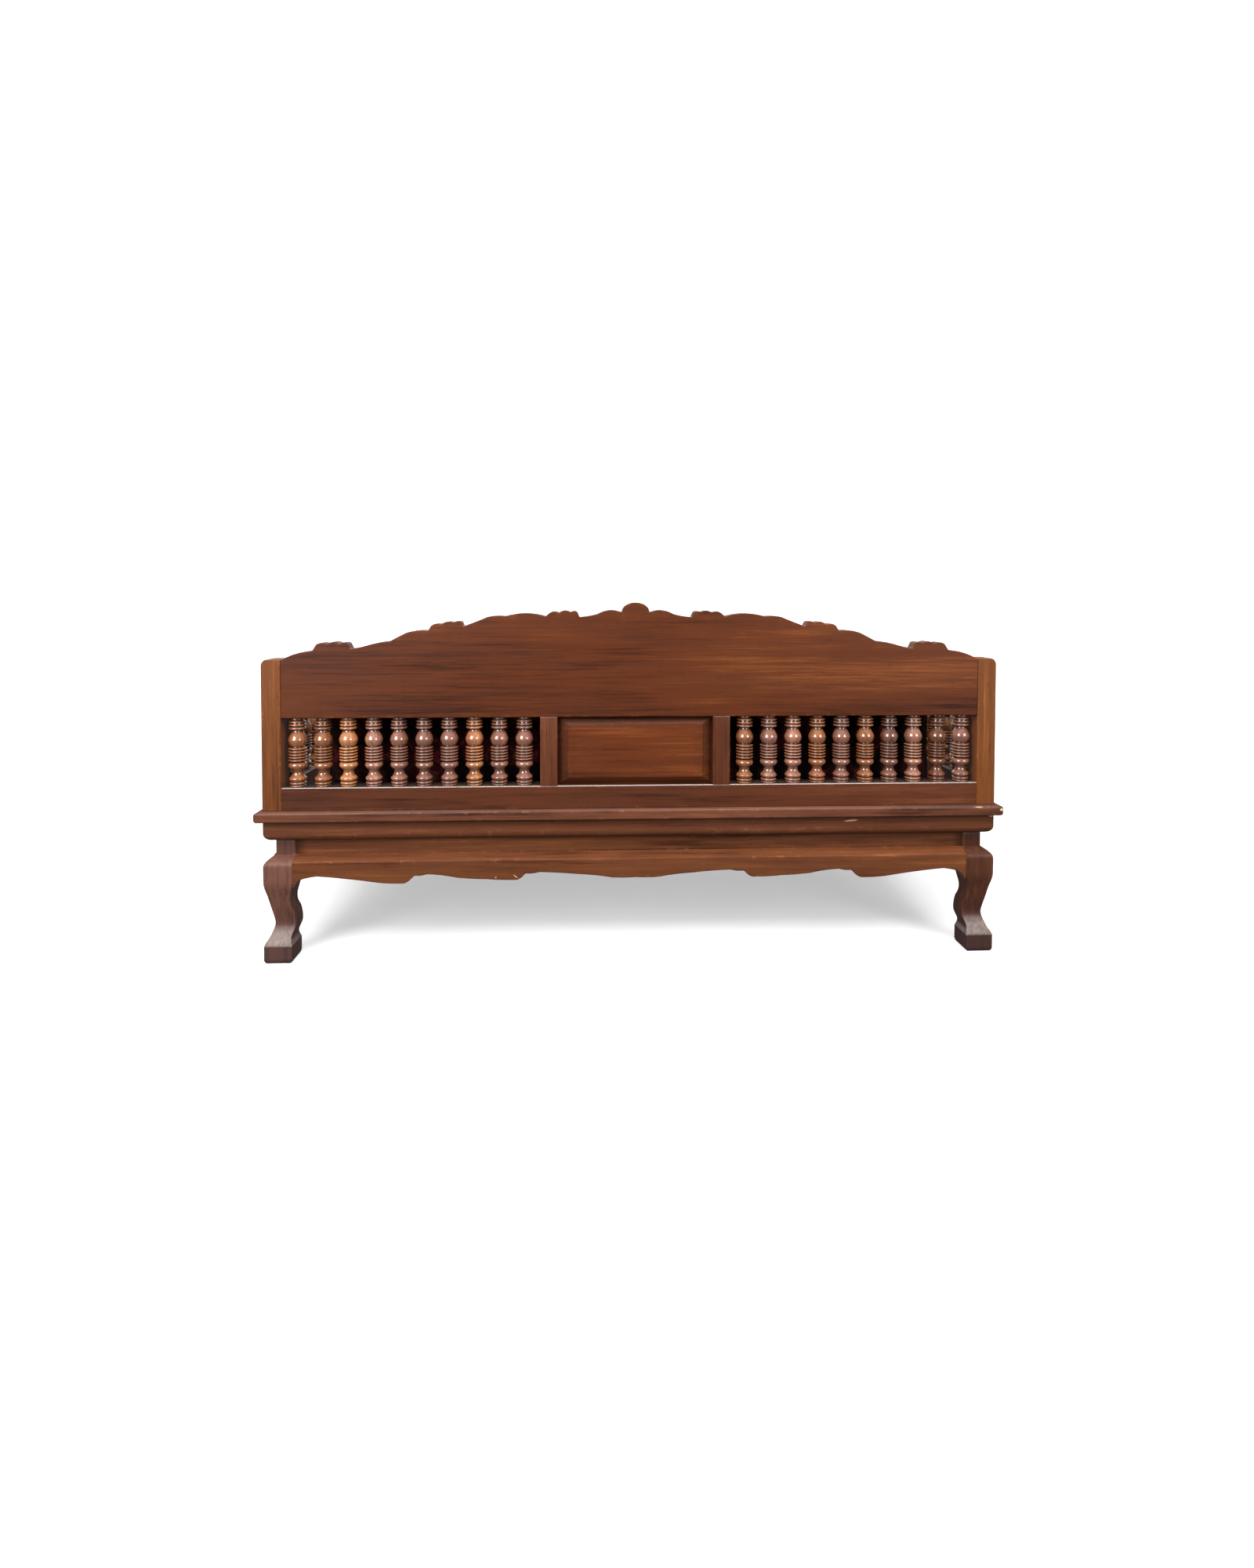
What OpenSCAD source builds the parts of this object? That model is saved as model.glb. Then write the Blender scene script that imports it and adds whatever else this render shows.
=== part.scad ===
// Long bench with a spindled back, a waisted base and four cabriole legs, all in solid timber.
// +Z is up, X runs along the seat and the back stands on the -Y side.
// The origin is on the floor under the middle of the seat.

/* [Seat] */
// Length of the seat over its end nosings
seat_len = 2000; // [1900:10:2100]
// Depth of the seat over its nosings
seat_dep = 750; // [700:10:800]
// Height of the seat's top face above the floor
seat_top = 406; // [400:1:416]
// Thickness of the seat planks
seat_th = 26; // [22:1:28]
// Radius of the upper edge of the seat nosing
nosing_r = 5; // [4:1:12]
end_r = 11; // [8:1:12]

/* [Base] */
// Setback of the legs and aprons behind the seat's edge
leg_in = 19; // [16:1:22]
// Setback of the waist moulding behind the seat's edge
mould_in = 20; // [18:1:24]
// Width of each member of the waist moulding
mould_w = 80; // [76:1:90]
// Height of the waist moulding
mould_h = 55; // [50:1:58]
// Height of the recessed neck under the moulding
neck_h = 40; // [34:1:44]
// Thickness of the aprons
apron_th = 42; // [38:1:46]

/* [Back] */
// Height of the rear posts above the floor
post_top = 806; // [796:1:816]
// Width of a post along the seat
post_w = 50; // [46:1:54]
// Depth of a post
post_d = 60; // [58:1:64]
// Setback of the posts behind the seat's edge
post_in = 19; // [16:1:24]
// Height of the lower rail of the back
rail_h = 61; // [54:1:68]
// Height of the underside of the crest board above the floor
crest_bot = 651; // [640:1:660]
// Thickness of the crest board
crest_th = 40; // [38:1:44]
// Half of the clear width of the middle panel's frame
panel_half = 208; // [200:1:216]
// Width of a stile beside the middle panel
stile_w = 46; // [42:1:50]

/* [Spindles] */
// Spindles in each half of the back
spindles = 10; // [9:1:10]
// Spindles under each arm
arm_spindles = 9; // [7:1:9]
// Radius of a spindle's largest ball
ball_r = 24; // [21:1:25]
// Diameter of the round tenon on each end of a spindle
tenon_d = 16; // [12:1:18]

/* [Arms] */
// Height of the front arm posts above the floor
arm_top = 726; // [716:1:740]
// Thickness of the arm boards
arm_th = 36; // [32:1:40]

/* [Cushions] */
// Width of each of the two loose back cushions
cushion_w = 850; // [820:1:856]
// Height of each back cushion
cushion_h = 330; // [280:1:340]
// Thickness of each back cushion
cushion_t = 110; // [80:1:130]

/* [Hidden] */

$fn = 48;
eps = 1;                                   // overshoot of a cut past the face it opens
fit = 0.15;                                // clearance round a tenon in its mortise
hx = seat_len / 2;
hy = seat_dep / 2;
seat_bot = seat_top - seat_th;
mould_bot = seat_bot - mould_h;            // top of the neck
apron_top = mould_bot - neck_h;            // bottom of the neck
kz = apron_top / 285;                      // stretch of the leg's drawn heights
lx = hx - leg_in;                          // outer faces of the legs
ly = hy - leg_in;
leg_top_w = 76;                            // width of the leg's knee block
neck_a = 25;                               // setback of the neck behind the leg's face
px = hx - post_in;                         // outer faces of the posts
py = hy - post_in;
open_x = px - post_w;                      // inner face of the posts
rail_top = seat_top + rail_h;
spin_h = crest_bot - rail_top;             // clear height between the rails
spin_y = -py + 27;                         // line of the spindles in the back
stile_out = panel_half + stile_w;
arm_x = px - post_w / 2;                   // centre line of the arms
arm_back = -py + post_d;                   // arm starts at the rear post's front face
arm_front = py - post_w;                   // and ends at the front post
tenon_len = 18;                            // length of a spindle's tenon
planks = 4;
plank_w = seat_dep / planks;

// ---- curves -------------------------------------------------------------

function lerp(a, b, t) = a + (b - a) * t;

// Shallow bow from p to q that rises by h in the middle; q itself is left to the next piece.
function bow(p, q, h, n = 6) =
    [for (i = [0:n - 1]) let (t = i / n)
        [lerp(p[0], q[0], t), lerp(p[1], q[1], t) + 4 * h * t * (1 - t)]];

// One step of a smooth curve through four keys.
function blend(a, b, c, d, t) =
    0.5 * (2 * b + (c - a) * t + (2 * a - 5 * b + 4 * c - d) * t * t
        + (3 * b - a - 3 * c + d) * t * t * t);

// Smooth curve through all the keys of p, with n steps between two keys.
function smooth(p, n = 3) = let (m = len(p) - 1) concat(
    [for (i = [0:m - 1], k = [0:n - 1])
        blend(p[max(i - 1, 0)], p[i], p[i + 1], p[min(i + 2, m)], k / n)], [p[m]]);

// Carved block on a board's edge: two steep sides and three lobes on top.
// a and d are its feet, b and c its shoulders.
function block(a, b, c, d) = let (u = lerp(b, c, 0.24), v = lerp(b, c, 0.66)) concat(
    [a], bow(b, u, 2.5, 4), bow(u, v, 5, 6), bow(v, c, 4, 5), [c, lerp(c, d, 0.6)]);

function flip(p) = [for (i = [len(p) - 1:-1:0]) [-p[i][0], p[i][1]]];

// ---- placing ------------------------------------------------------------

// Flat shape drawn in X and Z, running from y0 to y1.
module run_y(y0, y1) {
    translate([0, y1, 0]) rotate([90, 0, 0]) linear_extrude(y1 - y0) children();
}

// Flat shape drawn in Y and Z, running from x0 to x1.
module run_x(x0, x1) {
    translate([x0, 0, 0]) rotate([90, 0, 90]) linear_extrude(x1 - x0) children();
}

// Block between two opposite corners.
module span(a, b) { translate(a) cube(b - a); }

// Copy for one of the four corners: sx and sy are -1 or 1.
module corner(sx, sy) { mirror([sx < 0 ? 1 : 0, 0, 0]) mirror([0, sy < 0 ? 1 : 0, 0]) children(); }

// ---- timbers ------------------------------------------------------------

module dark_timber() { color([0.36, 0.22, 0.16]) children(); }
module mid_timber() { color([0.44, 0.27, 0.19]) children(); }
module warm_timber() { color([0.53, 0.32, 0.17]) children(); }
module turned_timber() { color([0.50, 0.31, 0.22]) children(); }

// ---- legs ---------------------------------------------------------------

// Cabriole outline: setback from the outer face against height.
leg_outer = smooth([[0, 258], [0, 235], [1, 207], [8, 177], [15, 143], [21, 114], [22, 100],
    [19, 87], [11, 67], [3, 54], [0, 46]]);
leg_inner = smooth([[73, 46], [68, 66], [75, 88], [76, 106], [73, 130], [67, 150], [66, 170],
    [72, 198], [leg_top_w, 216]]);
knee_slope = [[neck_a, 285], [13.6, 278], [8.6, 274], [4.6, 270], [1.8, 266], [0.5, 262]];
foot_base = [[0, 10], [2.5, 3.5], [8, 0], [65, 0], [70.5, 3.5], [73, 10]];

function leg_outline(w) = [for (p = concat([[neck_a, 285 + neck_h / kz]], knee_slope, leg_outer,
    foot_base, leg_inner, [[leg_top_w, 285 + neck_h / kz]]))
    [w - p[0], p[1] * kz]];

apron_ten = [neck_a - 5, neck_a + 11];     // setbacks of the two faces of an apron's tenon
neck_ten = [neck_a + 9, neck_a + 21];      // and of a neck rail's
apron_ten_z = [225, 270];
leg_pin_w = 28;                            // square tenon on top of a leg
leg_pin_h = 25;
leg_pin_in = neck_a + 10;

module leg(sx, sy) {
    dark_timber() corner(sx, sy) {
        difference() {
            intersection() {
                run_y(ly - leg_top_w - eps, ly) polygon(leg_outline(lx));
                run_x(lx - leg_top_w - eps, lx) polygon(leg_outline(ly));
            }
            for (t = [[apron_ten, apron_ten_z], [neck_ten, [apron_top + 8, mould_bot - 8]]]) {
                span([lx - leg_top_w - eps, ly - t[0][1] - fit, t[1][0] - fit],
                    [lx - leg_top_w + 20 + fit, ly - t[0][0] + fit, t[1][1] + fit]);
                span([lx - t[0][1] - fit, ly - leg_top_w - eps, t[1][0] - fit],
                    [lx - t[0][0] + fit, ly - leg_top_w + 20 + fit, t[1][1] + fit]);
            }
        }
        span([lx - leg_pin_in - leg_pin_w, ly - leg_pin_in - leg_pin_w, mould_bot],
            [lx - leg_pin_in, ly - leg_pin_in, mould_bot + leg_pin_h]);
    }
}

// ---- aprons and neck ----------------------------------------------------

// Lower edge of a long apron, from its middle to the leg.
long_edge = concat(
    bow([0, 219], [62, 219], -1), bow([62, 219], [150, 229], 1.5), bow([150, 229], [254, 236], 1),
    bow([254, 236], [290, 233], -2), bow([290, 233], [321, 216], -6),
    bow([321, 216], [392, 219], -1), bow([392, 219], [470, 224], -1), bow([470, 224], [548, 234], 2),
    bow([548, 234], [580, 231], -2), bow([580, 231], [613, 210], -6),
    bow([613, 210], [700, 217], -2), bow([700, 217], [830, 232], 1), bow([830, 232], [872, 224], 1),
    bow([872, 224], [leg_top_w + 817, 198], 4));

// Lower edge of an end apron, over the same kind of cyma and tip.
end_edge = concat(
    bow([0, 218], [36, 218], -1), bow([36, 218], [88, 230], 2), bow([88, 230], [112, 229], 1),
    bow([112, 229], [140, 214], -5), bow([140, 214], [185, 219], -1),
    bow([185, 219], [222, 228], 1), bow([222, 228], [255, 198], 7));

// The edge's drawn length is fitted to the clear width between two legs.
function fitted(p, half, drawn) = concat([for (q = p) [q[0] * half / drawn, q[1] * kz]],
    [[half, 198 * kz]]);

// Board from -half to half with a carved lower edge, a sloped top and a stub tenon at each end.
module apron(half, face, edge, drawn) {
    intersection() {
        run_y(face - apron_th, face) polygon(concat(flip(fitted(edge, half, drawn)),
            fitted(edge, half, drawn), [[half, apron_top], [-half, apron_top]]));
        run_x(-half, half) polygon([[face - neck_a, apron_top], [face - 2, 272 * kz],
            [face - 0.4, 270 * kz], [face, 267 * kz], [face, 190 * kz],
            [face - apron_th, 190 * kz], [face - apron_th, apron_top]]);
    }
    for (s = [-1, 1]) span([s > 0 ? half : -half - 19, face - apron_ten[1], apron_ten_z[0]],
        [s > 0 ? half + 19 : -half, face - apron_ten[0], apron_ten_z[1]]);
}

module neck_rail(half, face) {
    span([-half, face - 30, apron_top], [half, face, mould_bot]);
    span([-half - 19, face - 21, apron_top + 8], [half + 19, face - 9, mould_bot - 8]);
}

module long_apron(s) {
    dark_timber() mirror([0, s < 0 ? 1 : 0, 0]) apron(lx - leg_top_w, ly, long_edge, 893);
}

module end_apron(s) {
    dark_timber() rotate([0, 0, s * -90]) apron(ly - leg_top_w, lx, end_edge, 255);
}

module long_neck(s) {
    dark_timber() mirror([0, s < 0 ? 1 : 0, 0]) neck_rail(lx - leg_top_w, ly - neck_a);
}

module end_neck(s) {
    dark_timber() rotate([0, 0, s * -90]) neck_rail(ly - leg_top_w, lx - neck_a);
}

// ---- waist moulding -----------------------------------------------------

// Section of the moulding: upright fillet over a quarter round, with a shadow gap on top.
function mould_section(face) = concat(
    [[face - mould_w, seat_bot], [face - 24, seat_bot], [face - 24, seat_bot - 2],
        [face - 2, seat_bot - 2], [face, seat_bot - 4]],
    [for (a = [0:10:90]) [face - 24 + 24 * cos(a), mould_bot + 26 - 26 * sin(a)]],
    [[face - mould_w, mould_bot]]);

// Mitred member, as long as 2 * half at its outer edge, with pockets for battens at some places.
module moulding(half, face, pockets) {
    difference() {
        intersection() {
            run_x(-half, half) polygon(mould_section(face));
            translate([0, 0, mould_bot - eps]) linear_extrude(mould_h + 2 * eps)
                polygon([[-half, face], [half, face], [half - mould_w - eps, face - mould_w - eps],
                    [-half + mould_w + eps, face - mould_w - eps]]);
        }
        for (s = [-1, 1]) translate([s * (half + mould_in - leg_in - leg_pin_in - leg_pin_w / 2),
            face + mould_in - leg_in - leg_pin_in - leg_pin_w / 2, mould_bot - eps])
            linear_extrude(leg_pin_h + eps + fit) square(leg_pin_w + 2 * fit, center = true);
        for (x = pockets) translate([x, face - mould_w, seat_bot - batten_h - fit])
            linear_extrude(batten_h + eps + fit)
            square([batten_w + 2 * fit, 2 * (batten_lap + fit)], center = true);
    }
}

module long_moulding(s) {
    mid_timber() mirror([0, s < 0 ? 1 : 0, 0]) moulding(hx - mould_in, hy - mould_in, batten_x);
}

module end_moulding(s) {
    mid_timber() rotate([0, 0, s * -90]) moulding(hy - mould_in, hx - mould_in, []);
}

// ---- seat ---------------------------------------------------------------

batten_w = 60;
batten_h = 28;
batten_lap = 12;                           // length of a batten's end in the moulding
batten_x = [-520, 0, 520];
screw_d = 4.5;
dowel_d = 10;
dowel_len = 60;
dowel_x = [-800, -400, 0, 400, 800];
post_pin = [30, 34];                       // tenon under a post, through the seat

// Section across the whole seat, rounded at both edges.
function seat_section(h, r) = let (q = r - 1) concat(
    [for (a = [90:-15:0]) [h - r + r * cos(a), seat_top - r + r * sin(a)]],
    [for (a = [0:-15:-90]) [h - q + q * cos(a), seat_bot + q + q * sin(a)]],
    [for (a = [-90:-15:-180]) [-h + q + q * cos(a), seat_bot + q + q * sin(a)]],
    [for (a = [180:-15:90]) [-h + r + r * cos(a), seat_top - r + r * sin(a)]]);

module batten_screw_places() {
    for (x = batten_x, i = [0:planks - 1]) translate([x, -hy + (i + 0.5) * plank_w, 0]) children();
}

module dowel_places() {
    for (x = dowel_x, i = [1:planks - 1]) translate([x, -hy + i * plank_w, seat_bot + seat_th / 2])
        rotate([90, 0, 0]) children();
}

module post_places() {
    for (sx = [-1, 1]) {
        translate([sx * (px - post_w / 2), -py + post_d / 2, 0]) children();
        translate([sx * (px - post_w / 2), py - post_w / 2, 0]) children();
    }
}

module seat_plank(i) {
    mid_timber() difference() {
        intersection() {
            run_x(-hx, hx) polygon(seat_section(hy, nosing_r));
            run_y(-hy, hy) polygon(seat_section(hx, end_r));
            span([-hx - eps, -hy + i * plank_w - (i == 0 ? eps : 0), seat_bot - eps],
                [hx + eps, -hy + (i + 1) * plank_w + (i == planks - 1 ? eps : 0), seat_top + eps]);
        }
        post_places() translate([0, 0, seat_bot - eps]) linear_extrude(seat_th + 2 * eps)
            square(post_pin + [2 * fit, 2 * fit], center = true);
        dowel_places() cylinder(d = dowel_d + 0.2, h = dowel_len + 2, center = true);
        batten_screw_places() translate([0, 0, seat_bot - eps]) cylinder(d = screw_d + 0.2, h = 14 + eps);
    }
}

module seat_batten(x) {
    mid_timber() difference() {
        span([x - batten_w / 2, -hy + mould_in + mould_w - batten_lap, seat_bot - batten_h],
            [x + batten_w / 2, hy - mould_in - mould_w + batten_lap, seat_bot]);
        batten_screw_places() {
            translate([0, 0, seat_bot - batten_h - eps]) cylinder(d = screw_d + 0.2, h = batten_h + 2 * eps);
            translate([0, 0, seat_bot - batten_h - eps]) cylinder(d = 9.4, h = 4 + eps);
        }
    }
}

module seat_battens() {
    for (x = batten_x) seat_batten(x);
}

module batten_screws() {
    color([0.62, 0.58, 0.5]) batten_screw_places() {
        difference() {
            union() {
                translate([0, 0, seat_bot - batten_h + 4]) cylinder(d = screw_d, h = batten_h + 8);
                translate([0, 0, seat_bot - batten_h + 1]) cylinder(d = 9, h = 3);
            }
            for (a = [0, 90]) rotate([0, 0, a]) translate([-3, -0.5, seat_bot - batten_h])
                cube([6, 1, 2.2]);
        }
    }
}

module plank_dowels() {
    color([0.72, 0.58, 0.4]) dowel_places() cylinder(d = dowel_d, h = dowel_len, center = true);
}

// ---- back ---------------------------------------------------------------

// Half of the crest's top edge, from the middle outwards, drawn for a reach of 931.
crest_half = concat(
    [for (a = [90:-15:0]) [36 * cos(a), 932 + 24 * sin(a)]],
    bow([41, 931.5], [100, 926], 7), bow([100, 926], [149, 917.5], -1.5),
    block([150, 917.5], [156, 931.5], [229, 928], [238, 920.5]),
    bow([239, 919.5], [346, 919.5], 8), bow([346, 919.5], [391, 918], 2),
    bow([391, 918], [455, 893], -0.5),
    block([456, 893], [462, 905.5], [540, 894], [547, 882]),
    bow([548, 881.5], [604, 876], 3), bow([604, 876], [648, 853], 0.5),
    bow([648, 853], [700, 844.5], 1.5), bow([700, 844.5], [749, 833.5], -1),
    block([750, 833.5], [757, 848.5], [838, 845], [848, 829]),
    bow([849, 828], [931, 803.5], 5.5, 9), [[931, 803.5]]);

function crest_edge(reach) = [for (p = crest_half) [p[0] * reach / 931, p[1] + crest_bot - 651]];

module spindle_bores(z0, places) {
    for (p = places) translate([p[0], p[1], z0]) cylinder(d = tenon_d + 0.3, h = tenon_len + 2 + eps);
}

// Spindle centres in the back, from the stile to the post.
spin_pitch = (open_x - stile_out - 78) / (spindles - 1);
function back_place(s, i) = [s * (stile_out + 44 + i * spin_pitch), spin_y];
back_places = [for (s = [-1, 1], i = [0:spindles - 1]) back_place(s, i)];
arm_pitch = (arm_front - arm_back - 76) / (arm_spindles - 1);
function arm_places(s) = [for (i = [0:arm_spindles - 1]) [s * arm_x, arm_back + 38 + i * arm_pitch]];

post_ten_th = 16;                          // thickness of the crest's and rail's end tenons
post_ten_len = 20;

module crest_board() {
    y0 = -py;
    warm_timber() difference() {
        union() {
            run_y(y0, y0 + crest_th) polygon(concat(flip(crest_edge(open_x)), crest_edge(open_x),
                [[open_x, crest_bot], [-open_x, crest_bot]]));
            span([-open_x - post_ten_len, y0 + 12, crest_bot + 20],
                [open_x + post_ten_len, y0 + 12 + post_ten_th, crest_bot + 120]);
        }
        spindle_bores(crest_bot - eps, back_places);
        stile_slots(crest_bot - eps, crest_bot + 15 + fit);
        panel_groove(crest_bot - eps, crest_bot + 8.5);
    }
}

module back_lower_rail() {
    y0 = -py;
    dark_timber() difference() {
        union() {
            span([-open_x, y0, seat_top], [open_x, y0 + post_d, rail_top]);
            span([-open_x - post_ten_len, y0 + 12, seat_top + 12],
                [open_x + post_ten_len, y0 + 12 + post_ten_th, rail_top - 12]);
        }
        translate([0, 0, rail_top - tenon_len - 2]) spindle_bores(0, back_places);
        stile_slots(rail_top - 15 - fit, rail_top + eps);
        panel_groove(rail_top - 8.5, rail_top + eps);
    }
}

// Mortises for the stiles' ends, between two heights.
module stile_slots(z0, z1) {
    for (s = [-1, 1]) span([s * (panel_half + stile_w / 2) - 15 - fit, -py + 12 - fit, z0],
        [s * (panel_half + stile_w / 2) + 15 + fit, -py + 12 + post_ten_th + fit, z1]);
}

groove_y = [-py + 17, -py + 27];           // faces of the middle panel's tongue

module panel_groove(z0, z1) {
    span([-panel_half, groove_y[0] - fit, z0], [panel_half, groove_y[1] + fit, z1]);
}

module rear_post(s) {
    warm_timber() mirror([s < 0 ? 1 : 0, 0, 0]) difference() {
        union() {
            run_y(-py, -py + post_d) polygon(concat([[open_x, seat_top], [px, seat_top]],
                [for (a = [0:15:90]) [px - 15 + 15 * cos(a), post_top - 18 + 15 * sin(a)]],
                bow([px - 24, post_top - 1.2], [open_x + 6, post_top - 1.2], 1.2, 4),
                [[open_x + 2, post_top - 2], [open_x, post_top - 5]]));
            translate([px - post_w / 2, -py + post_d / 2, seat_bot]) linear_extrude(seat_th)
                square(post_pin, center = true);
        }
        post_mortises();
        translate([arm_x, arm_back, 0]) rotate([0, 0, 90]) arm_mortises();
    }
}

// Mortises in a rear post for the crest board and the lower rail.
module post_mortises() {
    y0 = -py + 12;
    for (z = [[crest_bot + 20, crest_bot + 120], [seat_top + 12, rail_top - 12]])
        span([open_x - eps, y0 - fit, z[0] - fit],
            [open_x + post_ten_len + fit, y0 + post_ten_th + fit, z[1] + fit]);
}

module panel_stile(s) {
    x0 = s > 0 ? panel_half : -stile_out;
    xm = s * (panel_half + stile_w / 2);
    mid_timber() difference() {
        union() {
            span([x0, -py, rail_top], [x0 + stile_w, -py + crest_th, crest_bot]);
            span([xm - 15, -py + 12, rail_top - 15], [xm + 15, -py + 12 + post_ten_th, crest_bot + 15]);
        }
        span([s > 0 ? x0 - eps : x0 + stile_w - 8.5, groove_y[0] - fit, rail_top - 20],
            [s > 0 ? x0 + 8.5 : x0 + stile_w + eps, groove_y[1] + fit, crest_bot + 20]);
    }
}

// Section of the middle panel from edge to edge: thin tongue, bevel and raised field.
function panel_section(a, b, bevel) = [[a - 8, groove_y[0]], [a + 3, groove_y[0]],
    [a + bevel, groove_y[0] - 9], [a + bevel, groove_y[0] - 11], [b - bevel, groove_y[0] - 11],
    [b - bevel, groove_y[0] - 9], [b - 3, groove_y[0]], [b + 8, groove_y[0]],
    [b + 8, groove_y[1]], [b - 3, groove_y[1]], [b - bevel, groove_y[1] + 5],
    [a + bevel, groove_y[1] + 5], [a + 3, groove_y[1]], [a - 8, groove_y[1]]];

module raised_panel() {
    warm_timber() intersection() {
        translate([0, 0, rail_top - 8]) linear_extrude(spin_h + 16)
            polygon(panel_section(-panel_half, panel_half, 26));
        run_x(-panel_half - 8, panel_half + 8)
            polygon([for (p = panel_section(rail_top, crest_bot, 19)) [p[1], p[0]]]);
    }
}

// ---- spindles -----------------------------------------------------------

// Half-round bead between two heights, from neck radius a out to radius r.
function bead(z0, z1, a, r, n = 4) = [for (i = [0:n]) let (t = 180 * i / n)
    [a + (r - a) * sin(t), (z0 + z1) / 2 - (z1 - z0) / 2 * cos(t)]];

ks = ball_r / 24;
// Turned outline from the bottom up, drawn for a height of 178 and a ball radius of 24.
spin_outline = concat(
    [[17.5, 0]], bead(0.4, 4.8, 18.5, 20.4, 3), bead(6.2, 12.8, 18.5, 21.8, 3), [[18, 14.2], [22, 17.4], [22.7, 20]],
    smooth([[21.4, 23.4], [17.5, 27.5], [14.5, 32.5], [13.6, 38], [16, 43], [22, 49], [24, 54], [22, 60], [16.5, 64.5]]),
    [for (i = [0:4]) each bead(65.5 + 7.6 * i, 70.9 + 7.6 * i, 19, 24, 4)],
    smooth([[16, 103.5], [20.5, 107.5], [24, 118.5], [22.5, 127], [18, 136], [14.5, 142], [13.8, 146]]),
    bead(147.2, 154, 19, 22.5, 3), bead(156, 162, 19, 22.3, 3), bead(164, 169.8, 18.5, 21.8, 3),
    [[15.5, 171.2], [17.4, 172.6], [17.4, 176], [14, 178]]);

module spindle(p) {
    kh = spin_h / 178;
    turned_timber() translate([p[0], p[1], rail_top]) rotate_extrude() polygon(concat(
        [[0, -tenon_len], [tenon_d / 2 - 1, -tenon_len], [tenon_d / 2, -tenon_len + 1], [tenon_d / 2, 0]],
        [for (q = spin_outline) [q[0] * ks, q[1] * kh]],
        [[tenon_d / 2, spin_h], [tenon_d / 2, spin_h + tenon_len - 1],
            [tenon_d / 2 - 1, spin_h + tenon_len], [0, spin_h + tenon_len]]));
}

// ---- arms ---------------------------------------------------------------

arm_ten_th = 14;                           // thickness of an arm board's and rail's end tenons
arm_ten_len = 15;

// Mortises for an arm board and an arm rail, opening towards -X from the face they meet.
module arm_mortises() {
    for (z = [[crest_bot + 10, crest_bot + 50], [seat_top + 12, rail_top - 12]])
        span([-arm_ten_len - fit, -arm_ten_th / 2 - fit, z[0] - fit],
            [eps, arm_ten_th / 2 + fit, z[1] + fit]);
}

module arm_tenons(z0, z1) {
    span([arm_x - arm_ten_th / 2, arm_back - arm_ten_len, z0],
        [arm_x + arm_ten_th / 2, arm_front + arm_ten_len, z1]);
}

module arm_post(s) {
    warm_timber() mirror([s < 0 ? 1 : 0, 0, 0]) difference() {
        union() {
            run_y(arm_front, py) polygon(concat([[open_x, seat_top], [px, seat_top]],
                [for (a = [0:15:90]) [px - 12 + 12 * cos(a), arm_top - 13 + 12 * sin(a)]],
                [for (a = [90:15:180]) [open_x + 12 + 12 * cos(a), arm_top - 13 + 12 * sin(a)]]));
            translate([px - post_w / 2, py - post_w / 2, seat_bot]) linear_extrude(seat_th)
                square(post_pin, center = true);
        }
        translate([arm_x, arm_front, 0]) rotate([0, 0, -90]) arm_mortises();
    }
}

// Top edge of an arm board, falling from the back to the front, drawn for a reach of 552.
arm_edge = concat(
    bow([0, 786], [60, 778], 4), bow([60, 778], [150, 752], 2),
    block([151, 752], [160, 768], [232, 762], [244, 748]),
    bow([245, 747], [330, 738], 6), bow([330, 738], [430, 716], -1),
    bow([430, 716], [552, 708], 6), [[552, 708]]);

module arm_board(s) {
    k = (arm_front - arm_back) / 552;
    warm_timber() mirror([s < 0 ? 1 : 0, 0, 0]) difference() {
        union() {
            run_x(arm_x - arm_th / 2, arm_x + arm_th / 2) polygon(concat(
                [for (p = arm_edge) [arm_back + p[0] * k, p[1] + crest_bot - 651]],
                [[arm_front, crest_bot], [arm_back, crest_bot]]));
            arm_tenons(crest_bot + 10, crest_bot + 50);
        }
        spindle_bores(crest_bot - eps, arm_places(1));
    }
}

module arm_lower_rail(s) {
    dark_timber() mirror([s < 0 ? 1 : 0, 0, 0]) difference() {
        union() {
            span([open_x, arm_back, seat_top], [px, arm_front, rail_top]);
            arm_tenons(seat_top + 12, rail_top - 12);
        }
        translate([0, 0, rail_top - tenon_len - 2]) spindle_bores(0, arm_places(1));
    }
}

module arm_spindles_side(s) { for (p = arm_places(s)) spindle(p); }

// ---- loose cushions -----------------------------------------------------

cushion_back = arm_back + 2;               // rear face of the cushions, clear of the lower rail
cushion_r = 55;                            // corner radius of their flat shape
cushion_gap = 12;                          // room between the two

// Plain block for a soft cushion that stands on the seat and leans on the back.
module back_cushion(s) {
    color([0.27, 0.06, 0.09])
        translate([s * (cushion_w + cushion_gap) / 2 - cushion_w / 2, 0, seat_top])
            run_y(cushion_back, cushion_back + cushion_t) {
                translate([cushion_r, 0]) square([cushion_w - 2 * cushion_r, cushion_h]);
                translate([0, cushion_r]) square([cushion_w, cushion_h - 2 * cushion_r]);
                for (x = [cushion_r, cushion_w - cushion_r], z = [cushion_r, cushion_h - cushion_r])
                    translate([x, z]) circle(r = cushion_r);
            }
}

// ---- assembly -----------------------------------------------------------

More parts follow.
